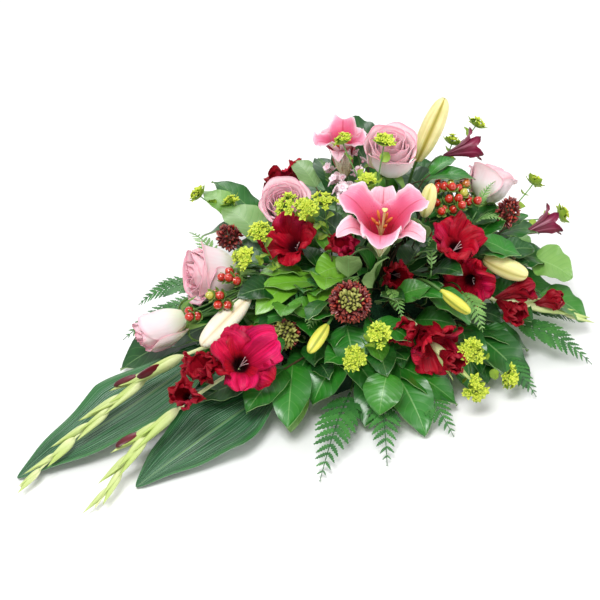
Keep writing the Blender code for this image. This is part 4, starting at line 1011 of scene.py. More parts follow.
def rose_petal(t, middle, opening, number):
    """A rose petal: t runs from 0 at the heart to 1 outside."""
    v = np.linspace(0, 1, 19)[:, None]
    u = np.linspace(1, -1, 17)[None, :]
    wide = 0.74 + 0.26 * opening
    reach = ROSE_RADIUS * wide * (0.09 + 0.84 * t**0.80)
    lip = (0.92 + 0.22 * opening) / 0.95 - 1 + 0.06 * math.sin(1.7 * number)
    flare = -0.40 + (lip + 0.40) * min(t * 1.15, 1.0)
    belly = np.sin(np.minimum(v / 0.55, 1) * math.pi / 2) ** 0.8
    radius = reach * (0.26 + 0.74 * belly) * (1 + flare * rise_between(v, 0.45, 1.0))
    top = ROSE_HEIGHT * (0.985 - 0.09 * t + 0.04 * t * math.sin(2.3 * number))
    foot = ROSE_HEIGHT * (0.12 - 0.10 * t)
    outline = 0.20 * np.abs(u) ** 3 + 0.03 * (1 - np.exp(-((u / 0.25) ** 2))) * t
    height = foot + (top - foot) * v * (1 - outline * v**2)
    rolled = rise_between(v, 0.80, 1.0) * opening * t**1.5 * (1 - 0.35 * u**2)
    radius = radius + 0.16 * ROSE_RADIUS * rolled + 0.12 * ROSE_RADIUS * u * (0.25 + 0.75 * t)
    radius = radius + 0.035 * ROSE_RADIUS * np.sin(2.6 * math.pi * u + number) * v**4
    height = height - 0.11 * ROSE_HEIGHT * rolled**2
    spread = math.radians(124 - 52 * t) * (0.42 + 0.58 * np.sin(math.pi * np.minimum(0.12 + 0.62 * v, 1)))
    angle = middle + spread * u
    return np.stack([radius * np.cos(angle), radius * np.sin(angle), height + 0 * angle], 2)


ROSE_HIP = ((-0.010, 0.0), (-0.008, 0.0045), (-0.001, 0.0080), (0.006, 0.0105), (0.010, 0.0))
ROSE_SEPAL = (
    (0.002, 0.0085, 0.0036), (0.006, 0.0180, 0.0046), (0.002, 0.0270, 0.0030), (-0.008, 0.0330, 0.0004),
)


def rose(name, enters, at, heading, rise, width=1.0, height=1.0, opening=0.8, roll=0.0):
    """A rose: petals by the golden angle from the heart outwards, a hip with five sepals, and a stem."""
    enters, at = Vector(enters), Vector(at)
    place = facing(at, heading, rise, roll) @ Matrix.Diagonal((width, width, height, 1))
    keep_clear(place, (0.5 * ROSE_HEIGHT, ROSE_RADIUS))
    count = 11 + round(10 * opening)
    petals = Pile()
    for k in range(count):
        t = k / (count - 1)
        petals.sheet(rose_petal(t, GOLDEN_ANGLE * k, opening, k), PETAL_THICKNESS, t, place)
    petals.stand(name + "_petals", ROSE, "rose", name)
    calyx = Pile()
    calyx.round(spindle(ROSE_HIP, 12, 14), 0.3, place)
    star(calyx, ROSE_SEPAL, FINE_THICKNESS, 0.25, (11, 7), place, 0.3, 0.2, 3.0)
    calyx.stand(name + "_calyx", SEPAL, "salal")
    head_stem(name, enters, at, direction(heading, rise), ROSE_STEM, ROSE_STEM)


LILY_ANTHER = ((-0.0065, 0), (-0.004, 0.0014), (0, 0.0018), (0.004, 0.0014), (0.0065, 0))
LILY_STIGMA = ((-0.001, 0), (0, 0.0022), (0.0025, 0.0030), (0.0035, 0))


def lily(name, enters, at, heading, rise, size=1.0, opening=1.0, roll=0.0):
    """An open lily: three broad petals over three slim ones, six stamens and a pistil."""
    enters, at = Vector(enters), Vector(at)
    r, h = LILY_RADIUS * size * opening, LILY_HEIGHT * size * (1.3 - 0.3 * opening)
    wide = 0.0235 * size * (0.5 + 0.5 * opening)
    slim = 0.0165 * size * (0.5 + 0.5 * opening)
    neck = (0.34 * h, 0.0105 * size)
    place = facing(at, heading, rise, roll)
    keep_clear(place, (0.5 * h, 0.5 * r), (0.9 * h, 0.85 * r))
    inner = [
        (0, 0.0012, 0.0016), (*neck, 0.0095 * size), (0.70 * h, 0.32 * r, 0.95 * wide),
        (0.95 * h, 0.62 * r, wide), (1.02 * h, 0.88 * r, 0.70 * wide), (0.98 * h, 1.01 * r, 0.12 * wide),
    ]
    outer = [
        (-0.001, 0.0016, 0.0016), (*neck, 0.0080 * size), (0.63 * h, 0.34 * r, 0.90 * slim),
        (0.87 * h, 0.64 * r, slim), (0.90 * h, 0.88 * r, 0.66 * slim), (0.80 * h, 1.03 * r, 0.10 * slim),
    ]
    petals = Pile()
    for k in range(6):
        rows, ruffle, cup, tone = (outer, 0.16, 0.10, 0.7) if k % 2 else (inner, 0.26, 0.26, 0.0)
        grid = tepal(rows, math.pi * k / 3, 2.1 * k, ruffle, 2.6, cup, (33, 17), 0.10)
        petals.sheet(grid, PETAL_THICKNESS, tone + 0.05 * k, place)
    petals.stand(name + "_petals", LILY, "lily", name)
    threads, anthers = [], Pile()
    for k in range(6):
        turn = math.pi * k / 3 + 0.5
        out = Vector((math.cos(turn), math.sin(turn), 0))
        tip = out * 0.15 * r + UP * (0.80 * h + 0.003 * (k % 2))
        bend = out * 0.02 * r + UP * (0.55 * h)
        threads.append(([place @ p for p in bezier(UP * (0.1 * h), bend, bend, tip, 9)], *LILY_FILAMENT))
        anthers.round(spindle(LILY_ANTHER, 9, 8), 0.5, place @ turned_to(tip, (out.x, out.y, 1.4)))
    pistil = [place @ Vector(p) for p in ((0, 0, 0.1 * h), (0.001, 0, 0.6 * h), (0.003, 0, 1.04 * h))]
    threads.append((pistil, *LILY_PISTIL))
    stems(name + "_filaments", threads, FILAMENT, "lily", sides=6)
    anthers.stand(name + "_anthers", ANTHER, "lily")
    stigma = Pile()
    stigma.round(spindle(LILY_STIGMA, 8, 12, 3, 0.2), 0.9, place @ Matrix.Translation((0.003, 0, 1.03 * h)))
    stigma.stand(name + "_stigma", STIGMA, "lily")
    head_stem(name, enters, at, direction(heading, rise), LILY_STEM, LILY_STEM)


# Tone added to each petal: on a floret of tone 0 the petals that add least take the most painted magenta
# sheen
FLORET_TONES = (0.0, 0.21, 0.12, 0.24, 0.04, 0.18)
CURLED = 0.7


def floret_petals(pile, size, opening, place, number=0, tone=0.3):
    """A gladiolus floret: a funnel of six crumpled petals, no two alike. A half-open one is still curled."""
    r, h = FLORET_RADIUS * size * opening, FLORET_HEIGHT * size
    closed = opening < CURLED
    wide = 0.0150 * size if closed else 0.0215 * size * (0.45 + 0.55 * opening)
    place = place @ Matrix.Translation((0, 0, FLORET_LIFT))
    keep_clear(place, (0.7 * h, 0.9 * r))
    draw = random.Random(number)
    for k in range(6):
        top, mouth = (1.0, 0.88) if k % 2 == 0 else (0.92, 0.80)
        long = draw.uniform(0.80, 1.12)
        lean = draw.uniform(-0.14, 0.20) * h
        broad = wide * draw.uniform(0.85, 1.15) * (1.0 if k % 2 == 0 else 0.88)
        ends = [
            (mouth * h + 0.6 * lean, 0.63 * r * long, broad),
            (top * h + lean, 0.88 * r * long, 0.80 * broad),
            ((top - 0.05) * h + lean, 1.01 * r * long, 0.24 * broad),
        ]
        if closed:
            ends = [
                (0.84 * h, 0.66 * r * long, broad),
                (1.02 * h + 0.5 * lean, 0.70 * r * long, 0.78 * broad),
                (1.12 * h + 0.5 * lean, 0.52 * r * long, 0.18 * broad),
            ]
        throat = [(0.29 * h, 0.13 * r + 0.002, 0.0055 * size), (0.54 * h, 0.30 * r, 0.70 * broad)]
        rows = [(-0.002, 0.0011, 0.0014)] + throat + ends
        turn = math.pi * k / 3 + draw.uniform(-0.16, 0.16)
        phase = draw.uniform(0, 6.3)
        waves, crease, twist = draw.uniform(1.4, 2.8), draw.uniform(-0.10, 0.35), draw.uniform(-0.10, 0.55)
        grid = tepal(rows, turn, phase, 0.36, waves, 0.10, (23, 17), crease, 0.13, twist)
        pile.sheet(grid, PETAL_THICKNESS, tone + FLORET_TONES[k], place)


def floret_threads(size, opening, place):
    """The three pale filaments in a floret's throat."""
    h = FLORET_HEIGHT * size
    found = []
    for k in range(3):
        top = Vector((0.006, 0.004 * opening * (k - 1), 0.72 * h))
        thread = bezier(UP * (0.2 * h), UP * (0.4 * h), top, top, 6)
        found.append(([place @ p for p in thread], *FLORET_FILAMENT))
    return found


def floret(name, enters, at, heading, rise, size=1.0, opening=1.0):
    """A single gladiolus floret on a stem."""
    enters, at = Vector(enters), Vector(at)
    place = facing(at, heading, rise)
    petals = Pile()
    floret_petals(petals, size, opening, place, len(name))
    petals.stand(name + "_petals", GLADIOLUS, "gladiolus", name)
    stems(name + "_filaments", floret_threads(size, opening, place), PALE_FILAMENT, "gladiolus", sides=6)
    head_stem(name, enters, at, direction(heading, rise), *FLORET_STEM)


def round_mould(name, finish, *shape):
    """A mould of one round body."""
    pile = Pile()
    pile.round(spindle(*shape))
    return mould(name, pile, finish)


# A sheath that swells near its foot and runs to a long point, and the closed bud that shows in its mouth
BRACT_SHAPE = ((0, 0.02), (0.14, 0.066), (0.34, 0.082), (0.66, 0.052), (1.04, 0.0))
BUD_TIP_SHAPE = ((0, 0.0), (0.15, 0.09), (0.5, 0.13), (0.8, 0.11), (0.95, 0.06), (1.0, 0.0))
BERRY_SHAPE = ((0, 0), (0.04, 0.20), (0.25, 0.40), (0.50, 0.43), (0.78, 0.30), (0.92, 0.11), (1.0, 0))
SKIMMIA_SHAPE = ((-1.4, 0.07), (-0.5, 0.09), (-0.1, 0.16), (0.3, 0.31), (0.6, 0.29), (0.95, 0.12), (1.2, 0))


def spike(name, enters, places, florets, buds, red=(), tone=0.3):
    """A gladiolus spike: open florets, then bracts in two ranks to the tip. Red buds show in some bracts."""
    path = route(Vector(enters), *map(Vector, places))
    stems(name + "_stem", [(path, *SPIKE_STEM)], BRACT, "gladiolus_spike", name, sides=10)
    petals, threads = Pile(), []
    for k, (share, heading, rise, size, opening) in enumerate(florets):
        place = facing(along(path, share)[0], heading, rise, 15)
        floret_petals(petals, size, opening, place, 2 * k + len(name), tone if opening >= CURLED else 0.72)
        threads += floret_threads(size, opening, place)
    if florets:
        petals.stand(name + "_petals", GLADIOLUS, "gladiolus")
        stems(name + "_filaments", threads, PALE_FILAMENT, "gladiolus", sides=6)
    first, last, count = buds
    bracts, tips = [], []
    for k in range(count):
        way = k / max(count - 1, 1)
        at, ahead = along(path, first + (last - first) * way)
        side = ahead.cross(UP).normalized() * (1 if k % 2 else -1)
        out = (ahead + side * BRACT_SPREAD + UP * 0.08).normalized()
        length = BRACT_LENGTH * (1.0 - 0.42 * way)
        bracts.append((at - out * 0.002, out, 1.3 * k, length))
        inner = (ahead + side * 0.08 + UP * 0.16).normalized()
        bracts.append((at - inner * 0.001 + UP * 0.001, inner, 0.7 * k, length * 0.80))
        if k in red:
            tips.append((at + out * length * 0.44 + UP * 0.005 - side * 0.001, out, k, length * 0.43))
    copies(name + "_bracts", bracts, BRACT_MOULD, BRACT, "gladiolus_spike", change=0.06, seed=len(name))
    if tips:
        copies(name + "_bud_tips", tips, BUD_TIP_MOULD, BUD_TIP, "gladiolus", change=0.08, seed=3)


def alstroemeria(name, enters, at, heading, rise, size):
    """A narrow trumpet of six pointed petals."""
    enters, at = Vector(enters), Vector(at)
    place = facing(at, heading, rise)
    inner = [
        (0, 0.0008, 0.0010), (0.024 * size, 0.0066 * size, 0.0044),
        (0.044 * size, 0.012 * size, 0.0086 * size),
        (0.053 * size, 0.0185 * size, 0.0064 * size), (0.058 * size, 0.025 * size, 0.0004),
    ]
    outer = [
        (0, 0.0010, 0.0010), (0.023 * size, 0.0070 * size, 0.0046),
        (0.041 * size, 0.014 * size, 0.0098 * size),
        (0.050 * size, 0.0215 * size, 0.0080 * size), (0.053 * size, 0.030 * size, 0.0006),
    ]
    petals = Pile()
    for k in range(6):
        rows = outer if k % 2 else inner
        petals.sheet(tepal(rows, math.pi * k / 3, k, 0.24, 2.0, 0.2, (17, 9)), PETAL_THICKNESS, k / 6, place)
    petals.stand(name + "_petals", ALSTROEMERIA, "alstroemeria", name)
    head_stem(name, enters, at, direction(heading, rise), SLIM_STEM, SLIM_STEM)


LILY_BUD_SHAPE = (
    (0, 0), (0.03, 0.34), (0.12, 0.60), (0.30, 0.90), (0.60, 1.0), (0.84, 0.80), (0.96, 0.46), (1, 0),
)


def lily_bud(name, enters, at, tip, radius, finish):
    """A closed lily bud: a long spindle with three ridges."""
    enters, at, tip = Vector(enters), Vector(at), Vector(tip)
    long = (tip - at).length
    ahead = (tip - at).normalized()
    place = turned_to(at, tip - at)
    keep_clear(place, (0.3 * long, radius), (0.8 * long, radius))
    bud = Pile()
    bud.round(spindle([(h * long, r * radius) for h, r in LILY_BUD_SHAPE], 30, 30, 3, 0.09), 0.5, place)
    bud.stand(name + "_bud", finish, "lily_bud", name)
    path = stem_path(enters, at, ahead)
    stems(name + "_stem", [(path + [path[-1] + ahead * 0.004], *BUD_STEM)], STEM, "salal")


def forked(enters, fork, ends, first):
    """A stem towards the middle of its ends, the ends, and where the branches leave it, one after another."""
    ends = [Vector(end) for end in ends]
    fork = Vector(fork)
    path = stem_path(Vector(enters), fork, (sum(ends, Vector()) / len(ends) - fork).normalized())
    shares = [first + (0.985 - first) * (k + 1) / len(ends) for k in range(len(ends))]
    return path, ends, [along(path, share)[0] for share in shares]


def sepal_mould():
    """The five small sepals under a berry, for a berry one unit long."""
    pile = Pile()
    rows = [(-0.02, 0.05, 0.10), (0.02, 0.35, 0.22), (0.20, 0.62, 0.17), (0.42, 0.70, 0.02)]
    star(pile, rows, MOULD_THICKNESS, 0.3, (8, 5))
    return mould("sepals", pile, SEPAL)


def berries(name, enters, fork, ends):
    """A hypericum sprig: a twig that forks to berries, each in its sepals on a short stalk."""
    path, tips, starts = forked(enters, fork, ends, 0.72)
    paths, places = [(path, *BERRY_TWIG)], []
    count = len(tips)
    for k in range(3 * count):
        extra = tips[k % count] + direction(137 * k, 20 - 30 * (k % 2)) * 0.0105
        if min((extra - tip).length for tip in tips) > 0.0088:
            tips.append(extra)
            starts.append(starts[k % count])
    for k, (start, end) in enumerate(zip(starts, tips)):
        out = ((end - start).normalized() + UP * 0.3).normalized()
        keep_clear(turned_to(end, out), (0.005, 0.006))
        bend = start.lerp(end, 0.4) - UP * 0.002
        paths.append((bezier(start, bend, end - out * 0.006, end, 7), *BERRY_STALK))
        places.append((end - out * 0.0005, out, 0.9 * k, BERRY_LENGTH * 1.04))
    stems(name + "_twig", paths, STEM, "salal", name, sides=7)
    copies(name + "_berries", places, BERRY_MOULD, BERRY, "berry", change=0.05, seed=5)
    copies(name + "_sepals", places, SEPAL_MOULD, SEPAL, "salal", change=0.0, seed=5)


def skimmia(name, enters, at, heading, rise, radius, stretch, count, green=0):
    """A skimmia head: buds packed over a dome, with a green heart where they are still unripe."""
    enters, at = Vector(enters), Vector(at)
    way = direction(heading, rise)
    place = facing(at, heading, rise)
    keep_clear(place, (0, radius))
    for label, first, last, finish, nodes in (
        ("_head", green, count, SKIMMIA, [name]),
        ("_heart", 0, green, SKIMMIA_GREEN, []),
    ):
        if last > first:
            buds = grown(
                name + label, bpy.data.meshes.new("none"), DOME, place, Bud=SKIMMIA_MOULD,
                Count=count, First=first, Last=last, Radius=radius * 0.76, Stretch=stretch,
                Cover=0.82, Size=0.0052, Tilt=0.8, Seed=len(name), Finish=finish,
            )
            stand(name + label, buds, "skimmia", *nodes)
    core = Pile()
    ball = []
    for a in np.linspace(-1.5708, 1.5708, 12):
        ball.append((math.sin(a) * radius * 0.62 * stretch, max(math.cos(a), 0) * radius * 0.62))
    core.round(turned_rings(ball, 16), 0.5, place)
    core.stand(name + "_core", TWIG, "skimmia")
    head_stem(name, enters, at - way * radius * stretch * 0.4, way, SLIM_STEM, SLIM_STEM, TWIG)


def umbel_floret_mould():
    """One bupleurum floret with its bracts, one unit across: pointed lobes round a raised heart."""
    pile = Pile()
    rows = [(0, 0.02, 0.06), (0.06, 0.26, 0.17), (0.16, 0.42, 0.10), (0.22, 0.52, 0.012)]
    star(pile, rows, 0.035, 0.3, (6, 3))
    for k in range(6):
        turn = 2 * math.pi * k / 6
        reach = 0.16 if k else 0.0
        place = Matrix.Translation((reach * math.cos(turn), reach * math.sin(turn), 0.12))
        pile.round(spindle([(-0.06, 0), (0.0, 0.07), (0.09, 0.085), (0.15, 0)], 5, 5), 0.5, place)
    return mould("umbel_floret", pile, UMBEL)


def umbel_places(at, out, radius, rays, draw):
    """Where the florets of an umbel stand: over a ragged, shallow dome at the ends of its rays."""
    across = out.orthogonal().normalized()
    side = out.cross(across)
    found = []
    for k in range(rays):
        share = math.sqrt((k + 0.35) / rays) * draw.uniform(0.80, 1.22)
        turn = GOLDEN_ANGLE * k + draw.uniform(-0.4, 0.4)
        spread = (across * math.cos(turn) + side * math.sin(turn)) * share
        height = 0.72 - 0.34 * share * share + draw.uniform(-0.28, 0.28)
        found.append((at + spread * radius * 0.80 + out * radius * height, (out + spread * 0.8).normalized()))
    return found


UMBEL_RUFF = ((0, 0.001, 0.0012), (0.001, 0.006, 0.0042), (0.004, 0.011, 0.0034), (0.007, 0.0145, 0.0003))


def bupleurum(name, enters, fork, umbels, radius=0.014, rays=13):
    """A bupleurum spray: a stem that forks to umbels with rays, florets, a ruff and round leaves below."""
    path, ends, starts = forked(enters, fork, umbels, 0.8)
    draw = random.Random(len(name))
    paths, places, ruff = [(path, FINE_STEM, FINE_STEM)], [], Pile()
    for n, (start, at) in enumerate(zip(starts, ends)):
        out = ((at - start).normalized() + UP * 0.35).normalized()
        head = turned_to(at, out)
        keep_clear(head, (0.008, radius))
        ray = bezier(start, start.lerp(at, 0.35), at - out * 0.012, at, 9)
        paths.append((ray, *UMBEL_STALK))
        for k, share in enumerate((0.1, 0.45, 0.75)):
            knot, ahead = along(ray, share)
            tip = knot + turned_aside(ahead, 2.4 * k + n, 1.6) * 0.014
            ruff.sheet(leaf_grid(knot, tip, 0.012, 0.002, 20 * k, steps=(9, 7)), FINE_THICKNESS, 0.5)
        for k, (place, way) in enumerate(umbel_places(at, out, radius, rays, draw)):
            paths.append((bezier(at, at + out * 0.003, place - way * 0.003, place, 5), *UMBEL_RAY))
            places.append((place, way, 0.8 * k + n, 0.0112))
        star(ruff, UMBEL_RUFF, FINE_THICKNESS, 0.2, (8, 5), head, n)
    stems(name + "_stem", paths, SPRIG, "bupleurum", name, sides=5)
    copies(name + "_florets", places, UMBEL_MOULD, UMBEL, "bupleurum", change=0.32, seed=len(name))
    ruff.stand(name + "_bracts", UMBEL_LEAF, "bupleurum")


def waxflower_mould():
    """A waxflower, one unit across: five round petals on a small cup."""
    pile = Pile()
    rows = [(0, 0.06, 0.08), (0.05, 0.22, 0.19), (0.10, 0.40, 0.20), (0.14, 0.50, 0.06)]
    star(pile, rows, MOULD_THICKNESS, 0.25, (6, 5))
    pile.round(spindle([(-0.28, 0.05), (-0.14, 0.12), (0.0, 0.15), (0.06, 0.10), (0.08, 0)], 6, 8), 0.5)
    return mould("waxflower", pile, WAXFLOWER)


def waxflower(name, enters, fork, ends, *nodes):
    """A sprig of tiny waxy flowers with needle leaves along its twigs."""
    path, ends, starts = forked(enters, fork, ends, 0.7)
    paths, places, needles = [(path, *WAXFLOWER_STEM)], [], []
    for k, (start, end) in enumerate(zip(starts, ends)):
        twig = bezier(start, start.lerp(end, 0.4), end.lerp(start, 0.2), end, 9)
        paths.append((twig, *WAXFLOWER_TWIG))
        for n in range(7):
            at, ahead = along(twig, 0.35 + 0.65 * n / 6)
            way = turned_aside(ahead, 2.4 * n + k, 0.9)
            tip = at + way * 0.009
            paths.append(([at, tip], *WAXFLOWER_STALK))
            places.append((tip, way, n, 0.0120))
        for n in range(14):
            at, ahead = along(twig, 0.1 + 0.85 * n / 13)
            way = turned_aside(ahead, 2.0 * n)
            needles.append(([at, at + way * 0.006, at + way * 0.011], *NEEDLE))
    stems(name + "_twigs", paths, STEM, "waxflower", *nodes, sides=5)
    stems(name + "_needles", needles, FERN, "salal", sides=4)
    copies(name + "_flowers", places, WAXFLOWER_MOULD, WAXFLOWER, "waxflower", change=0.15, seed=2)


# Greens


def aspidistra(name, enters, neck, middle, tip, roll=4.0, fold=0.16):
    """A broad strap leaf: its rib runs neck, middle, tip, and its blade is pleated lengthwise."""
    neck, middle, tip = Vector(neck), Vector(middle), Vector(tip)
    path = stem_path(Vector(enters), neck, (middle - neck).normalized())
    last = STRAP_STEPS - 1
    rib = bezier(neck, neck.lerp(middle, 0.75), tip.lerp(middle, 0.75), tip, STRAP_STEPS)
    rows = []
    for i, place in enumerate(rib):
        t = i / last
        ahead = (rib[min(i + 1, last)] - rib[max(i - 1, 0)]).normalized()
        side = Matrix.Rotation(math.radians(roll), 3, ahead) @ ahead.cross(UP).normalized()
        up = side.cross(ahead)
        half = max(ASPIDISTRA_WIDTH / 2 * math.sin(math.pi * min(t * 0.90 + 0.055, 1)) ** 0.72, 0.0011)
        half = min(half, 0.0011 + 0.35 * ASPIDISTRA_WIDTH * (1 - t) ** 0.75 * 2.2)
        flat = min(half / 0.02, 1)
        row = []
        for j in range(2 * STRAP_HALF_STEPS + 1):
            w = j / STRAP_HALF_STEPS - 1
            pleat = 0.0006 * math.cos(11 * math.pi * w) * flat
            wave = 0.0022 * math.sin(5 * math.pi * t + 1.2 * (w > 0)) * abs(w) ** 1.5 * flat
            row.append(tuple(place + side * half * w + up * (abs(w) ** 1.4 * half * fold + pleat + wave)))
        rows.append(row)
    blade = Pile()
    blade.sheet(np.array(rows), LEAF_THICKNESS, 0.4)
    blade.stand(name + "_blade", STRAP_LEAF, "aspidistra", name)
    stems(name + "_stalk", [(path, *STRAP_STALK)], STEM, "aspidistra")


def leaflet_mould(name, hand):
    """A fern leaflet one unit long, cut into lobes along both edges. hand is 1 or -1."""
    x = np.linspace(0, 1, 23)[:, None]
    u = np.linspace(-1, 1, 3)[None, :]
    lobes = 0.48 + 0.52 * np.abs(np.sin(5.5 * math.pi * x)) ** 0.7
    half = 0.225 * np.sin(math.pi * np.clip(x * 0.86 + 0.10, 0, 1)) ** 0.6 * lobes * (1 - 0.55 * x) + 0.004
    sweep = 0.05 * hand * np.abs(u) * (1 - x)
    out = x + np.abs(u) * 0.04 + 0 * u
    grid = np.stack([out, half * u + 0.10 * x**2 + sweep, 0.10 * half * np.abs(u) - 0.05 * x**2], 2)
    if hand < 0:
        grid = (grid * np.array([-1, 1, 1]))[:, ::-1]
    pile = Pile()
    pile.sheet(grid[:, ::-1], 0.018, 0.5)
    return mould(name, pile, FERN)


def fern(name, enters, neck, tip, width, arch=0.012, pairs=12, finish=FERN, nodes=None):
    """A frond on a stalk that arches from its neck to its tip."""
    neck, tip = Vector(neck), Vector(tip)
    way = (tip - neck).normalized()
    length = (tip - neck).length
    side = way.cross(UP).normalized()
    up = side.cross(way)
    rib = [neck + way * length * t + up * arch * 4 * t * (1 - t) for t in np.linspace(0, 1, 25)]
    frond = grown(
        name + "_frond", path_mesh([(rib, *FROND_RIB)]), FROND, Right=RIGHT_LEAFLET, Left=LEFT_LEAFLET,
        Pairs=pairs, Width=width / 2, Bare=0.09, Lean=0.66, Side=tuple(side), Seed=len(name), Finish=finish,
    )
    stand(name + "_frond", frond, "fern", *([name] if nodes is None else nodes))
    stems(name + "_stalk", [(stem_path(Vector(enters), neck, way), *FROND_STALK)], STEM, "fern")


def leafy_stem(name, enters, places, leaves):
    """A salal stem: a twig with leaves, each by its share of the twig, tip, width, arch, roll and tone."""
    path = route(Vector(enters), *map(Vector, places))
    leaves = [(share, Vector(tip), *shape) for share, tip, *shape in leaves]
    twig_leaves(name + "_leaves", path, leaves, name)
    stems(name + "_twig", [(path, *SALAL_TWIG)], TWIG, "salal", sides=7)


BRACT_MOULD = round_mould("bract", BRACT, BRACT_SHAPE, 15, 12, 2, 0.25)
BUD_TIP_MOULD = round_mould("bud_tip", BUD_TIP, BUD_TIP_SHAPE, 12, 12, 3, 0.22)
BERRY_MOULD = round_mould("berry", BERRY, BERRY_SHAPE, 16, 16)
SEPAL_MOULD = sepal_mould()
SKIMMIA_MOULD = round_mould("skimmia_bud", SKIMMIA, SKIMMIA_SHAPE, 11, 7, 4, 0.12)
UMBEL_MOULD = umbel_floret_mould()
WAXFLOWER_MOULD = waxflower_mould()
RIGHT_LEAFLET = leaflet_mould("right_leaflet", 1)
LEFT_LEAFLET = leaflet_mould("left_leaflet", -1)


# The arrangement: places and widths in metres, headings and rises in degrees

# Foot in the foam, head, heading, rise, width, height, opening, roll
ROSES = (
    ("tail", (-0.115, 0.028, 0.062), (-0.229, 0.045, 0.085), 172, -6, 0.88, 1.22, 0.15),
    ("left", (-0.098, 0.036, 0.086), (-0.146, 0.082, 0.096), 168, 12, 1.04, 1.15, 0.8, 20),
    ("back_left", (-0.045, 0.043, 0.086), (-0.056, 0.116, 0.127), 225, 58, 0.84, 1.0, 0.85, 50),
    ("top", (0.015, 0.015, 0.086), (0.026, 0.029, 0.206), 240, 70, 0.95, 1.1, 0.6),
    ("right", (0.088, 0.0, 0.086), (0.140, -0.003, 0.144), 20, 45, 0.84, 0.88, 0.8, 30),
)

# Foot, head, heading, rise, size, opening, roll
LILIES = (
    ("open", (-0.035, -0.028, 0.086), (-0.048, -0.064, 0.170), 238, 78, 1.0, 0.82, 25),
    ("half_open", (-0.008, 0.035, 0.086), (0.001, 0.080, 0.182), 200, 80, 0.9, 0.55),
)

# Foot, base, tip, radius, finish
LILY_BUDS = (
    ("top", (0.050, 0.028, 0.086), (0.074, 0.040, 0.200), (0.097, 0.023, 0.285), 0.0125, TOP_BUD),
    ("centre", (0.028, -0.008, 0.086), (0.039, -0.026, 0.170), (0.044, -0.031, 0.215), 0.009, PALE_BUD),
    ("left", (-0.098, 0.008, 0.086), (-0.166, 0.020, 0.108), (-0.244, -0.005, 0.085), 0.0125, CREAM_BUD),
    ("right", (0.062, -0.036, 0.086), (0.096, -0.068, 0.118), (0.134, -0.106, 0.101), 0.012, PALE_BUD),
    ("front", (0.008, -0.040, 0.086), (0.004, -0.108, 0.130), (0.024, -0.140, 0.110), 0.007, GREEN_BUD),
    ("low", (-0.088, -0.038, 0.086), (-0.122, -0.074, 0.110), (-0.157, -0.090, 0.095), 0.0075, GREEN_BUD),
)

# Foot, places on the way, florets (share of the way, heading, rise, size, opening),
# bracts (from, to, count), which have a red bud, tone (at 0 the petals take the painted magenta sheen)
SPIKES = (
    (
        "tail_left", (-0.115, 0.008, 0.052),
        ((-0.180, 0.012, 0.062), (-0.262, 0.012, 0.065), (-0.355, 0.002, 0.040), (-0.480, -0.034, 0.012)),
        (), (0.42, 0.93, 9), (0, 1),
    ),
    (
        "tail_right", (-0.115, -0.014, 0.052),
        (
            (-0.180, -0.032, 0.062), (-0.253, -0.044, 0.060), (-0.342, -0.062, 0.040),
            (-0.426, -0.102, 0.010),
        ),
        ((0.36, 250, 50, 1.0, 1.0), (0.46, 195, 60, 0.9, 0.6), (0.55, 230, 45, 0.9, 0.5)), (0.60, 0.93, 6),
        (1,), 0.0,
    ),
    (
        "right", (0.092, -0.042, 0.086),
        ((0.090, -0.083, 0.076), (0.145, -0.108, 0.055), (0.200, -0.130, 0.030)),
        (
            (0.24, 216, 23, 0.84, 0.9), (0.42, 345, 12, 0.85, 0.5), (0.44, 270, 5, 0.8, 0.5),
            (0.66, 325, 18, 0.7, 0.5),
        ),
        (0.50, 0.90, 4),
    ),
    (
        "front", (-0.010, -0.055, 0.066), ((-0.014, -0.100, 0.078), (-0.012, -0.145, 0.060)),
        ((0.45, 268, -4, 1.0, 0.75), (0.58, 205, 24, 0.85, 0.5), (0.86, 270, 10, 0.75, 0.5)),
        (0.78, 0.88, 2),
    ),
)

# Foot, head, heading, rise, size, opening
FLORETS = (
    ("left", (-0.070, 0.030, 0.086), (-0.080, 0.052, 0.114), 205, 62, 0.88),
    ("middle", (-0.038, 0.006, 0.086), (-0.044, 0.008, 0.118), 220, 65, 0.85, 0.6),
    ("under_lily", (-0.010, -0.014, 0.086), (-0.004, -0.024, 0.106), 246, 30, 0.9, 0.6),
    ("centre_right", (0.035, -0.030, 0.086), (0.064, -0.050, 0.124), 250, 58, 0.76),
    ("back", (-0.015, 0.055, 0.066), (-0.014, 0.158, 0.112), 100, 45, 0.78),
)

# Foot, head, heading, rise, size
ALSTROEMERIAS = (
    ("top", (0.074, 0.022, 0.086), (0.126, 0.055, 0.186), 350, 6, 0.78),
    ("right", (0.100, -0.018, 0.086), (0.181, -0.038, 0.106), 350, 12, 0.78),
)

# Foot, fork, berries
HYPERICUMS = (
    (
        "right", (0.060, -0.005, 0.086), (0.082, -0.010, 0.150),
        (
            (0.095, -0.014, 0.180), (0.086, -0.026, 0.176), (0.106, -0.006, 0.178), (0.080, -0.008, 0.184),
            (0.100, -0.026, 0.168), (0.088, 0.004, 0.176), (0.070, -0.022, 0.166),
        ),
    ),
    (
        "left", (-0.100, 0.022, 0.086), (-0.150, 0.036, 0.112),
        (
            (-0.186, 0.041, 0.128), (-0.175, 0.028, 0.127), (-0.204, 0.026, 0.122), (-0.208, 0.013, 0.117),
            (-0.229, 0.023, 0.104),
        ),
    ),
)

# Foot, head, heading, rise, radius, stretch, buds, green buds
LOW_SKIMMIA = ("low", (-0.098, -0.018, 0.086), (-0.153, -0.036, 0.085), 220, 30, 0.016, 1.0, 110, 60)
SKIMMIAS = (
    ("centre", (-0.070, -0.035, 0.086), (-0.094, -0.075, 0.130), 238, 45, 0.025, 0.9, 290, 40),
    ("left", (-0.080, 0.055, 0.070), (-0.133, 0.122, 0.120), 150, 40, 0.015, 1.2, 100),
    LOW_SKIMMIA,
    ("right", (0.078, -0.018, 0.086), (0.154, -0.036, 0.142), 320, 72, 0.0135, 1.8, 110),
)

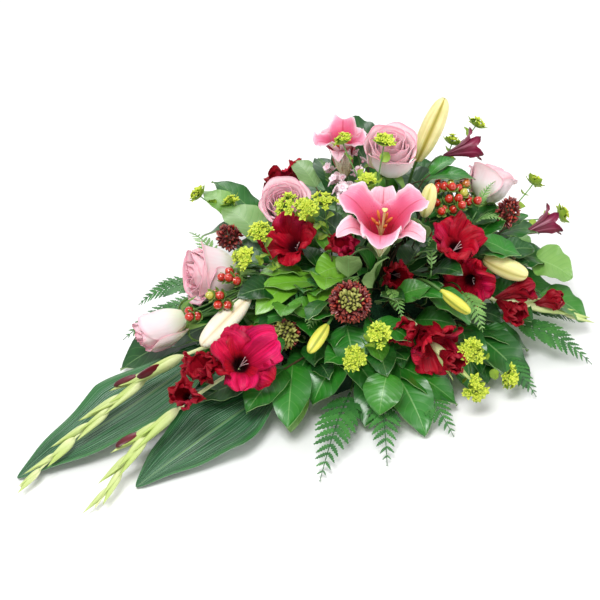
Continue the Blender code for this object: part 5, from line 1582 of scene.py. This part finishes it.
# Foot, fork, umbels, radius, rays
BUPLEURUMS = (
    (
        "back", (-0.060, 0.055, 0.070), (-0.090, 0.160, 0.110),
        ((-0.126, 0.205, 0.132), (-0.098, 0.180, 0.126)), 0.010, 8,
    ),
    (
        "left", (-0.083, 0.020, 0.086), (-0.128, 0.034, 0.126),
        ((-0.141, 0.036, 0.172), (-0.163, 0.032, 0.150)),
    ),
    (
        "centre", (-0.055, 0.022, 0.086), (-0.060, 0.028, 0.160),
        ((-0.100, 0.045, 0.192), (-0.089, 0.020, 0.197), (-0.060, 0.030, 0.190)),
    ),
    (
        "top", (-0.015, 0.008, 0.086), (-0.014, 0.004, 0.190),
        ((-0.026, -0.005, 0.225), (-0.007, -0.007, 0.270), (-0.025, 0.047, 0.250)), 0.010, 9,
    ),
    (
        "top_right", (0.090, 0.034, 0.086), (0.146, 0.078, 0.158),
        ((0.163, 0.088, 0.174), (0.190, 0.078, 0.196)), 0.011, 9,
    ),
    (
        "right", (0.115, 0.008, 0.062), (0.190, 0.004, 0.100),
        ((0.250, 0.030, 0.120), (0.262, -0.010, 0.090)), 0.010, 8,
    ),
    (
        "front_left", (-0.070, -0.055, 0.066), (-0.090, -0.105, 0.090),
        ((-0.098, -0.136, 0.125), (-0.120, -0.128, 0.098)),
    ),
    (
        "front", (0.030, -0.055, 0.060), (0.034, -0.128, 0.056),
        ((0.008, -0.164, 0.080), (0.004, -0.182, 0.040), (0.050, -0.178, 0.036)),
    ),
)

# Foot, fork, twig ends, and the node that it stands for
WAXFLOWERS = (
    (
        "waxflower", (-0.022, 0.026, 0.086), (-0.012, 0.050, 0.160),
        ((0.007, 0.055, 0.195), (-0.016, 0.070, 0.185), (-0.022, 0.052, 0.186)), "waxflower",
    ),
    (
        "waxflower_extra", (-0.020, 0.018, 0.086), (-0.002, 0.066, 0.150),
        ((0.009, 0.062, 0.212), (-0.010, 0.092, 0.188), (-0.002, 0.080, 0.196)),
    ),
)

# Foot, neck, middle, tip
ASPIDISTRAS = (
    (
        "left", (-0.115, 0.030, 0.034), (-0.205, 0.036, 0.040), (-0.355, 0.000, 0.022),
        (-0.474, -0.011, 0.004),
    ),
    (
        "right", (-0.115, -0.030, 0.034), (-0.180, -0.050, 0.026), (-0.270, -0.062, 0.012),
        (-0.373, -0.091, 0.004),
    ),
)

# Foot, neck, tip, width
FERNS = (
    ("front", (-0.078, -0.055, 0.034), (-0.108, -0.100, 0.026), (-0.204, -0.187, 0.004), 0.072),
    ("right", (0.115, -0.036, 0.040), (0.120, -0.100, 0.034), (0.176, -0.185, 0.006), 0.070),
    ("left", (-0.100, 0.055, 0.045), (-0.170, 0.130, 0.060), (-0.240, 0.160, 0.040), 0.060),
    ("far_left", (-0.115, 0.046, 0.046), (-0.190, 0.105, 0.050), (-0.287, 0.107, 0.040), 0.060),
    ("back", (0.060, 0.055, 0.040), (0.075, 0.130, 0.050), (0.130, 0.235, 0.010), 0.075),
)

# Foot, places on the way, leaves (share of the way, tip, width, arch, roll, tone)
SALALS = (
    (
        "back_left", (-0.040, 0.055, 0.050), ((-0.048, 0.130, 0.075), (-0.060, 0.180, 0.090)),
        (
            (0.98, (-0.087, 0.248, 0.120), 0.045, 0.006, 10, 0.3),
            (0.84, (-0.135, 0.190, 0.085), 0.050, 0.008, 20, 0.2),
            (0.70, (0.000, 0.195, 0.070), 0.045, 0.008, -10, 0.4),
            (0.56, (-0.110, 0.130, 0.060), 0.045, 0.008, 0, 0.3),
        ),
    ),
    (
        "front_left", (-0.115, -0.040, 0.050), ((-0.172, -0.062, 0.060),),
        (
            (0.98, (-0.235, -0.088, 0.044), 0.046, 0.006, 0, 0.3),
            (0.80, (-0.205, -0.124, 0.034), 0.046, 0.006, 0, 0.5),
        ),
    ),
    (
        "corner", (-0.090, -0.055, 0.062), ((-0.105, -0.080, 0.068),),
        (
            (0.98, (-0.158, -0.100, 0.030), 0.048, 0.006, 0, 0.4),
            (0.80, (-0.100, -0.150, 0.045), 0.044, 0.006, 0, 0.3),
        ),
    ),
    (
        "front", (-0.045, -0.055, 0.046), ((-0.056, -0.100, 0.050), (-0.058, -0.115, 0.044)),
        (
            (0.98, (-0.066, -0.188, 0.008), 0.052, 0.006, 0, 0.5),
            (0.78, (-0.118, -0.145, 0.012), 0.050, 0.006, 0, 0.3),
            (0.84, (-0.008, -0.168, 0.012), 0.050, 0.006, 0, 0.4),
            (0.60, (-0.050, -0.125, 0.064), 0.044, 0.006, 0, 0.2),
        ),
    ),
    (
        "front_right", (0.045, -0.055, 0.045), ((0.055, -0.090, 0.052), (0.060, -0.105, 0.046)),
        (
            (0.98, (0.085, -0.180, 0.008), 0.058, 0.006, 0, 0.2),
            (0.76, (0.020, -0.155, 0.012), 0.048, 0.006, 0, 0.4),
            (0.84, (0.125, -0.130, 0.012), 0.048, 0.006, 0, 0.3),
            (0.60, (0.040, -0.115, 0.095), 0.044, 0.006, 0, 0.3),
        ),
    ),
    (
        "right", (0.115, -0.012, 0.046), ((0.165, -0.030, 0.066),),
        (
            (0.98, (0.245, -0.052, 0.050), 0.056, 0.006, 0, 0.3),
            (0.76, (0.215, -0.112, 0.014), 0.050, 0.006, 0, 0.4),
            (0.84, (0.235, 0.020, 0.055), 0.050, 0.006, 0, 0.8),
            (0.60, (0.175, -0.075, 0.085), 0.044, 0.006, 0, 0.2),
        ),
    ),
    (
        "back_middle", (0.045, 0.055, 0.056), ((0.040, 0.120, 0.080), (0.045, 0.160, 0.085)),
        (
            (0.98, (0.050, 0.240, 0.080), 0.050, 0.008, 0, 0.3),
            (0.72, (-0.010, 0.180, 0.110), 0.045, 0.008, 0, 0.4),
            (0.84, (0.105, 0.190, 0.085), 0.045, 0.008, 0, 0.2),
            (0.58, (0.090, 0.125, 0.110), 0.045, 0.008, 0, 0.4),
        ),
    ),
    (
        "back_right", (0.095, 0.055, 0.050), ((0.140, 0.100, 0.066),),
        (
            (0.98, (0.205, 0.130, 0.056), 0.050, 0.008, 0, 0.2),
            (0.74, (0.150, 0.180, 0.040), 0.050, 0.008, 0, 0.3),
            (0.84, (0.215, 0.070, 0.080), 0.045, 0.008, 0, 0.4),
        ),
    ),
    (
        "top", (0.030, 0.042, 0.086), ((0.045, 0.085, 0.140), (0.050, 0.105, 0.170)),
        (
            (0.98, (0.040, 0.160, 0.205), 0.045, 0.006, 0, 0.2),
            (0.80, (0.110, 0.110, 0.170), 0.045, 0.006, 0, 0.3),
            (0.60, (0.000, 0.125, 0.140), 0.040, 0.006, 0, 0.3),
        ),
    ),
    (
        "middle", (-0.068, 0.006, 0.086), ((-0.082, 0.000, 0.108),),
        (
            (0.98, (-0.150, 0.015, 0.118), 0.036, 0.004, 0, 0.9),
            (0.80, (-0.120, -0.045, 0.115), 0.034, 0.004, 0, 1.0),
        ),
    ),
    (
        "under_lily", (0.010, -0.018, 0.086), ((0.008, -0.032, 0.118),),
        (
            (0.98, (0.034, -0.066, 0.146), 0.032, 0.004, 0, 0.3),
            (0.74, (0.040, -0.060, 0.105), 0.024, 0.004, 0, 0.4),
        ),
    ),
)

# Leaves that the frame has not: foot, base, tip, width, tone, roll. Leaves of tone 0.1 and below fill dark
# gaps between the blooms and low round the tail, so their dark green is partly painted shade.
ADDED_LEAVES = (
    ((-0.070, 0.010, 0.086), (-0.078, 0.000, 0.112), (-0.104, -0.040, 0.130), 0.040, 0.95, -10),
    ((-0.090, 0.024, 0.086), (-0.092, 0.022, 0.110), (-0.143, 0.038, 0.118), 0.036, 0.9, 10),
    ((-0.090, 0.010, 0.086), (-0.104, 0.022, 0.108), (-0.172, -0.002, 0.098), 0.036, 1.0, -15),
    ((-0.055, 0.040, 0.086), (-0.058, 0.030, 0.130), (-0.064, 0.080, 0.152), 0.022, 0.75, 25),
    ((-0.070, 0.055, 0.070), (-0.098, 0.106, 0.112), (-0.112, 0.176, 0.126), 0.050, 1.15, 0),
    ((-0.080, 0.055, 0.060), (-0.104, 0.164, 0.114), (-0.110, 0.226, 0.124), 0.034, 1.1, 0),
    ((-0.100, -0.010, 0.086), (-0.152, 0.000, 0.090), (-0.168, -0.044, 0.076), 0.034, 0.1, 0),
    ((-0.080, -0.040, 0.086), (-0.092, -0.066, 0.092), (-0.112, -0.112, 0.064), 0.044, 0.3, 0),
    ((-0.050, -0.050, 0.086), (-0.070, -0.088, 0.100), (-0.044, -0.124, 0.086), 0.036, 0.35, 0),
    ((-0.030, -0.050, 0.086), (-0.030, -0.074, 0.112), (0.000, -0.096, 0.128), 0.028, 0.6, 30),
    ((0.020, -0.050, 0.086), (0.006, -0.084, 0.112), (0.028, -0.136, 0.092), 0.038, 0.55, 0),
    ((0.080, -0.050, 0.086), (0.092, -0.062, 0.124), (0.128, -0.098, 0.126), 0.040, 0.5, 0),
    ((0.100, -0.040, 0.086), (0.120, -0.091, 0.124), (0.087, -0.053, 0.138), 0.032, 0.55, 0),
    ((0.030, 0.040, 0.086), (0.060, 0.100, 0.200), (0.022, 0.148, 0.206), 0.058, 0.1, 0),
    ((-0.110, 0.031, 0.076), (-0.172, 0.052, 0.055), (-0.246, 0.064, 0.040), 0.052, 0.1, 0),
    ((-0.110, 0.011, 0.076), (-0.170, 0.018, 0.050), (-0.236, 0.026, 0.046), 0.050, 0.15, 0),
    ((-0.110, 0.046, 0.080), (-0.153, 0.076, 0.065), (-0.216, 0.080, 0.055), 0.045, 0.2, 0),
    ((-0.110, 0.001, 0.076), (-0.155, 0.001, 0.050), (-0.230, -0.013, 0.040), 0.050, 0.1, 0),
    ((-0.095, 0.050, 0.080), (-0.127, 0.088, 0.070), (-0.179, 0.088, 0.060), 0.045, 0.1, 0),
    ((0.059, 0.016, 0.086), (0.079, 0.027, 0.160), (0.070, 0.071, 0.175), 0.050, 0.1, 0),
    ((0.084, 0.024, 0.086), (0.111, 0.040, 0.150), (0.104, 0.088, 0.170), 0.040, 0.2, 0),
    ((0.086, -0.011, 0.086), (0.114, -0.018, 0.130), (0.158, -0.019, 0.140), 0.045, 0.2, 0),
    ((0.110, -0.018, 0.086), (0.152, -0.030, 0.110), (0.207, -0.038, 0.100), 0.040, 0.3, 0),
    ((0.110, -0.034, 0.086), (0.148, -0.056, 0.090), (0.191, -0.070, 0.080), 0.050, 0.2, 0),
    ((-0.020, 0.050, 0.086), (-0.010, 0.127, 0.148), (-0.011, 0.176, 0.160), 0.034, 1.2, 0),
    ((0.050, 0.020, 0.086), (0.070, 0.023, 0.184), (0.117, -0.018, 0.192), 0.028, 0.35, 0),
    ((0.060, 0.020, 0.086), (0.079, 0.019, 0.192), (0.118, 0.021, 0.200), 0.020, 0.5, 0),
    ((0.090, -0.020, 0.086), (0.113, -0.036, 0.124), (0.157, -0.030, 0.135), 0.036, 0.3, 0),
    ((0.110, -0.020, 0.080), (0.162, -0.031, 0.118), (0.192, -0.031, 0.125), 0.018, 0.4, 0),
    ((0.100, -0.030, 0.086), (0.131, -0.056, 0.106), (0.177, -0.066, 0.100), 0.030, 0.15, 20),
    ((-0.090, 0.040, 0.086), (-0.120, 0.071, 0.108), (-0.144, 0.104, 0.100), 0.036, 0.2, 0),
    ((-0.100, 0.030, 0.086), (-0.141, 0.029, 0.098), (-0.149, 0.078, 0.085), 0.036, 0.15, 0),
    ((-0.115, 0.020, 0.060), (-0.140, 0.062, 0.060), (-0.191, 0.063, 0.050), 0.036, 0.2, 0),
    ((0.115, -0.030, 0.070), (0.176, -0.060, 0.084), (0.206, -0.104, 0.070), 0.056, 1.1, 10),
    ((0.115, -0.040, 0.050), (0.172, -0.086, 0.050), (0.208, -0.134, 0.024), 0.050, 0.6, 0),
    ((0.060, 0.030, 0.086), (0.082, 0.026, 0.164), (0.136, 0.012, 0.172), 0.032, 0.55, 0),
    ((-0.115, 0.010, 0.050), (-0.196, 0.012, 0.070), (-0.226, 0.040, 0.050), 0.032, 0.1, 0),
    ((-0.100, -0.055, 0.040), (-0.160, -0.072, 0.036), (-0.190, -0.104, 0.008), 0.034, 1.1, 0),
    ((-0.040, -0.055, 0.060), (-0.082, -0.134, 0.066), (-0.110, -0.160, 0.036), 0.044, 0.6, 0),
    ((-0.020, 0.055, 0.080), (0.000, 0.084, 0.148), (0.010, 0.160, 0.166), 0.036, 0.1, 0),
    ((-0.010, 0.050, 0.086), (0.012, 0.086, 0.160), (0.036, 0.146, 0.184), 0.036, 0.2, 0),
    ((-0.050, 0.005, 0.086), (-0.052, 0.012, 0.100), (-0.053, 0.068, 0.104), 0.036, 0.15, 0),
    ((-0.085, 0.045, 0.086), (-0.094, 0.090, 0.090), (-0.116, 0.144, 0.095), 0.040, 0.2, 0),
    ((-0.040, 0.055, 0.080), (-0.046, 0.098, 0.104), (-0.072, 0.170, 0.110), 0.040, 0.15, 0),
    ((0.060, 0.030, 0.086), (0.078, 0.040, 0.148), (0.074, 0.082, 0.160), 0.038, 0.2, 0),
    ((-0.115, -0.020, 0.035), (-0.180, -0.032, 0.034), (-0.258, -0.006, 0.028), 0.056, 0.05, 0),
    ((-0.115, -0.005, 0.040), (-0.170, -0.014, 0.040), (-0.238, 0.008, 0.036), 0.050, 0.1, 0),
    ((-0.115, 0.040, 0.040), (-0.192, 0.060, 0.044), (-0.268, 0.074, 0.038), 0.046, 0.1, 0),
    ((-0.060, -0.005, 0.086), (-0.050, -0.004, 0.120), (-0.092, 0.000, 0.120), 0.044, 1.0, -10),
    ((-0.060, 0.020, 0.086), (-0.066, 0.010, 0.136), (-0.066, 0.068, 0.150), 0.022, 0.75, 10),
    ((-0.110, -0.030, 0.070), (-0.172, -0.032, 0.086), (-0.190, -0.064, 0.078), 0.034, 0.3, 0),
    ((-0.090, 0.050, 0.060), (-0.118, 0.082, 0.070), (-0.172, 0.074, 0.062), 0.046, 0.15, 0),
    ((-0.100, 0.040, 0.050), (-0.132, 0.066, 0.048), (-0.186, 0.048, 0.044), 0.044, 0.2, 0),
    ((-0.060, 0.020, 0.086), (-0.062, 0.030, 0.098), (-0.094, 0.060, 0.106), 0.034, 0.2, 0),
    ((0.010, -0.030, 0.086), (0.000, -0.049, 0.120), (0.046, -0.022, 0.135), 0.038, 0.05, 0),
    ((0.050, -0.030, 0.086), (0.040, -0.030, 0.120), (0.078, -0.006, 0.142), 0.036, 0.15, 0),
    ((-0.112, 0.045, 0.030), (-0.196, 0.078, 0.024), (-0.300, 0.092, 0.010), 0.064, 0.1, 0),
    ((-0.105, 0.052, 0.030), (-0.124, 0.080, 0.042), (-0.160, 0.116, 0.016), 0.050, 0.2, 0),
    ((-0.060, 0.054, 0.030), (-0.068, 0.080, 0.044), (-0.092, 0.130, 0.016), 0.052, 0.35, 0),
    ((-0.012, 0.054, 0.030), (-0.010, 0.082, 0.042), (-0.004, 0.136, 0.014), 0.052, 0.25, 0),
    ((0.040, 0.054, 0.030), (0.046, 0.080, 0.044), (0.060, 0.130, 0.014), 0.054, 0.2, 0),
    ((0.086, 0.052, 0.030), (0.096, 0.078, 0.042), (0.118, 0.124, 0.016), 0.050, 0.45, 0),
    ((0.113, 0.020, 0.030), (0.138, 0.026, 0.044), (0.190, 0.030, 0.014), 0.052, 0.3, 0),
    ((0.000, 0.000, 0.086), (-0.010, 0.004, 0.118), (-0.044, 0.014, 0.132), 0.034, 0.1, 0),
    ((-0.110, -0.030, 0.040), (-0.200, -0.044, 0.040), (-0.262, -0.030, 0.030), 0.046, 0.05, 0),
)

# Sprigs that the frame has not: foot, neck, tip, width, finish
SPRIGS = (
    ((-0.030, -0.050, 0.086), (-0.034, -0.062, 0.118), (-0.044, -0.106, 0.106), 0.030, SPRIG),
    ((0.020, -0.040, 0.086), (0.012, -0.080, 0.140), (0.036, -0.046, 0.160), 0.020, SPRIG),
    ((-0.090, 0.050, 0.086), (-0.155, 0.112, 0.100), (-0.158, 0.178, 0.106), 0.034, SPRIG),
    ((-0.066, 0.004, 0.086), (-0.078, 0.000, 0.112), (-0.134, -0.004, 0.096), 0.040, FERN),
    ((-0.080, -0.030, 0.086), (-0.100, -0.036, 0.104), (-0.136, -0.056, 0.098), 0.040, SPRIG),
    ((-0.060, -0.020, 0.086), (-0.070, -0.030, 0.118), (-0.080, -0.070, 0.146), 0.030, SPRIG),
    ((0.050, -0.050, 0.086), (0.050, -0.090, 0.100), (0.044, -0.140, 0.076), 0.044, SPRIG),
    ((0.080, -0.020, 0.086), (0.110, -0.030, 0.140), (0.132, -0.060, 0.152), 0.026, SPRIG),
    ((0.060, 0.010, 0.086), (0.070, -0.016, 0.150), (0.092, -0.050, 0.160), 0.030, FERN),
    ((-0.060, -0.055, 0.040), (-0.080, -0.120, 0.030), (-0.130, -0.206, 0.006), 0.060, FERN),
    ((-0.030, -0.055, 0.040), (-0.040, -0.125, 0.028), (-0.040, -0.205, 0.006), 0.060, FERN),
    ((0.080, -0.055, 0.040), (0.070, -0.130, 0.030), (0.080, -0.200, 0.008), 0.056, FERN),
    ((0.115, -0.020, 0.040), (0.150, -0.084, 0.034), (0.206, -0.118, 0.014), 0.050, FERN),
    ((-0.060, 0.055, 0.040), (-0.090, 0.130, 0.050), (-0.150, 0.215, 0.030), 0.056, FERN),
    ((-0.115, 0.040, 0.050), (-0.180, 0.080, 0.066), (-0.250, 0.110, 0.060), 0.050, FERN),
    ((0.020, 0.055, 0.040), (0.020, 0.140, 0.050), (-0.010, 0.235, 0.024), 0.060, FERN),
    ((0.115, 0.040, 0.040), (0.180, 0.090, 0.040), (0.250, 0.130, 0.014), 0.060, FERN),
    ((0.090, -0.020, 0.086), (0.112, -0.033, 0.160), (0.148, -0.018, 0.180), 0.020, SPRIG),
    ((0.070, -0.030, 0.086), (0.095, -0.029, 0.153), (0.046, -0.034, 0.150), 0.018, FERN),
    ((-0.020, 0.050, 0.086), (-0.007, 0.101, 0.165), (-0.009, 0.124, 0.190), 0.020, SPRIG),
)


def place_all(build, prefix, rows):
    """Builds what each row of a table gives: the rest of its name, then its places and shape."""
    for name, *given in rows:
        build(prefix + name, *given)


def place_skimmia_leaves():
    """Two leaves under the low skimmia head."""
    enters, at, heading, rise = LOW_SKIMMIA[1:5]
    path = stem_path(Vector(enters), Vector(at), direction(heading, rise))
    leaves = []
    for share, heading, rise, length, width in ((0.62, 155, -4, 0.055, 0.032), (0.66, 265, 2, 0.048, 0.030)):
        tip = along(path, share)[0] + direction(heading, rise) * length
        leaves.append((share, tip, width, 0.1 * length, 0, 0.5))
    twig_leaves("skimmia_low_leaves", path, leaves)


def stalked_leaves(name, stalks_name, rows, steps):
    """Leaves on stalks of their own that come out of the foam: (foot, base, tip, width, tone, roll)."""
    leaves, stalks = Pile(), []
    for foot, base, tip, width, tone, roll in rows:
        way = tip - base
        reach = (base - foot).length
        out = bedding(foot)
        bend = base - way.normalized() * 0.3 * reach
        stalks.append((bezier(foot - out * 0.01, foot + out * 0.4 * reach, bend, base, 9), *LEAF_STALK))
        grid = leaf_grid(base, tip, width, 0.12 * way.length, roll, 40 * tip.x, steps=steps)
        leaves.sheet(grid, LEAF_THICKNESS, tone)
    leaves.stand(name, GLOSSY_LEAF, "salal")
    stems(stalks_name, stalks, TWIG, "salal", sides=5)


def place_added_leaves():
    """Single leaves that show between the blooms, beyond those of the leafy stems."""
    rows = [(*map(Vector, places), width, tone, roll) for *places, width, tone, roll in ADDED_LEAVES]
    stalked_leaves("added_leaves", "added_leaf_stalks", rows, (17, 9))


def on_foam(way):
    """Where a line from the middle of the foam in a given direction leaves it."""
    reaches = (FOAM_LENGTH / 2, FOAM_WIDTH / 2, FOAM_TOP / 2)
    return UP * (FOAM_TOP / 2) + way * min(reach / max(abs(part), 1e-6) for reach, part in zip(reaches, way))


def mound_leaves(count=225, seed=5):
    """Leaves all over the mound, between the blooms and clear of them, so that the foam is hidden."""
    draw = random.Random(seed)
    for k in range(count):
        up = 1 - 1.02 * (k + 0.5) / count
        out = math.sqrt(1 - up * up)
        way = Vector((math.cos(GOLDEN_ANGLE * k) * out, math.sin(GOLDEN_ANGLE * k) * out, up))
        depth = draw.uniform(0.62, 0.98)
        base = Vector([m + r * w * depth for m, r, w in zip(MOUND_MIDDLE, MOUND_REACH, way)])
        spread = Vector((draw.uniform(-1, 1), draw.uniform(-1, 1), draw.uniform(-0.7, 0.3)))
        length = draw.uniform(0.036, 0.056)
        tip = base + (way + spread * 0.9).normalized() * length
        width = length * draw.uniform(0.58, 0.74)
        tone = draw.choice((0.0, 0.1, 0.2, 0.3, 0.4, 0.5, 0.7))
        roll = draw.uniform(-25, 25)
        places = [base, base.lerp(tip, 0.5), tip]
        near = min((p - middle).length - radius for p in places for middle, radius in BLOOMS)
        if near > BLOOM_GAP and tip.z > LEAST_HEIGHT:
            yield on_foam(way), base, tip, width, tone, roll


def place_sprigs():
    """Small ferny sprigs between the leaves: pale ones near the middle, dark ones round the foot."""
    for k, (foot, neck, tip, width, finish) in enumerate(SPRIGS):
        fern(f"sprig_{k + 1}", foot, neck, tip, width, arch=0.008, pairs=10, finish=finish, nodes=())


def finish_holder():
    """The tray and the foam keep their solids and take their finishes."""
    for name, finish in (("tray", tray_finish()), ("foam", foam_finish())):
        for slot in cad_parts[name].material_slots:
            slot.material = finish


# The studio

TARGET = Vector((-0.04, 0.115, 0.0))
CAMERA_AZIMUTH = math.radians(-32.0)
CAMERA_RISE = math.radians(35.0)
CAMERA_DISTANCE = 1.9
SENSOR = 36.0
PIXELS_PER_UNIT_SLOPE = 1520.0
PICTURE_SIDE = 600.0
FLOOR_REACH = 6
SKY_STRENGTH = 0.55
LIT_PLACE = Vector((0, 0, 0.1))

# Name, place, size, watts
LIGHTS = (
    ("key", (-0.9, -0.7, 1.9), 0.8, 34),
    ("fill", (1.2, -1.4, 1.2), 1.4, 12),
    ("back", (0.6, 1.5, 1.6), 1.2, 12),
)


def area_light(name, at, size, energy):
    lamp = bpy.data.lights.new(name, "AREA")
    lamp.shape = "DISK"
    lamp.size = size
    lamp.energy = energy
    obj = linked(name, lamp)
    obj.location = at
    obj.rotation_euler = (Vector(at) - LIT_PLACE).to_track_quat("Z", "Y").to_euler()


def studio():
    """A plain white floor, soft light from the upper left and a weak fill, and the camera."""
    floor = bpy.data.meshes.new("floor")
    corners = [(x * FLOOR_REACH, y * FLOOR_REACH, 0) for x, y in ((-1, -1), (1, -1), (1, 1), (-1, 1))]
    floor.from_pydata(corners, [], [(0, 1, 2, 3)])
    floor.materials.append(floor_finish())
    obj = linked("floor", floor)
    obj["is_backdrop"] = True
    place_all(area_light, "", LIGHTS)
    scene = bpy.context.scene
    world = bpy.data.worlds.new("studio")
    world.use_nodes = True
    sky = world.node_tree.nodes["Background"].inputs
    sky[0].default_value = (1, 1, 1, 1)
    sky[1].default_value = SKY_STRENGTH
    scene.world = world
    scene.view_settings.view_transform = "Standard"
    flat = math.cos(CAMERA_RISE)
    back = Vector((math.sin(CAMERA_AZIMUTH) * flat, -math.cos(CAMERA_AZIMUTH) * flat, math.sin(CAMERA_RISE)))
    camera = bpy.data.cameras.new("camera")
    camera.sensor_width = SENSOR
    camera.lens = PIXELS_PER_UNIT_SLOPE / PICTURE_SIDE * SENSOR
    obj = linked("camera", camera)
    obj.location = TARGET + back * CAMERA_DISTANCE
    obj.rotation_euler = back.to_track_quat("Z", "Y").to_euler()
    scene.camera = obj


def main():
    studio()
    finish_holder()
    place_all(rose, "rose_", ROSES)
    place_all(lily, "lily_", LILIES)
    place_all(lily_bud, "lily_bud_", LILY_BUDS)
    place_all(spike, "gladiolus_", SPIKES)
    place_all(floret, "gladiolus_", FLORETS)
    place_all(alstroemeria, "alstroemeria_", ALSTROEMERIAS)
    place_all(berries, "hypericum_", HYPERICUMS)
    place_all(skimmia, "skimmia_", SKIMMIAS)
    place_skimmia_leaves()
    place_all(bupleurum, "bupleurum_", BUPLEURUMS)
    place_all(waxflower, "", WAXFLOWERS)
    place_all(aspidistra, "aspidistra_", ASPIDISTRAS)
    place_all(fern, "fern_", FERNS)
    place_all(leafy_stem, "salal_", SALALS)
    place_added_leaves()
    place_sprigs()
    stalked_leaves("filling_leaves", "filling_stalks", mound_leaves(), (12, 7))
    for obj in MOULDS:
        bpy.data.objects.remove(obj)


main()
sizes = {"cad": cad_bounds, "visual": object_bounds()}
{key: [list(corner) for corner in box] for key, box in sizes.items()}
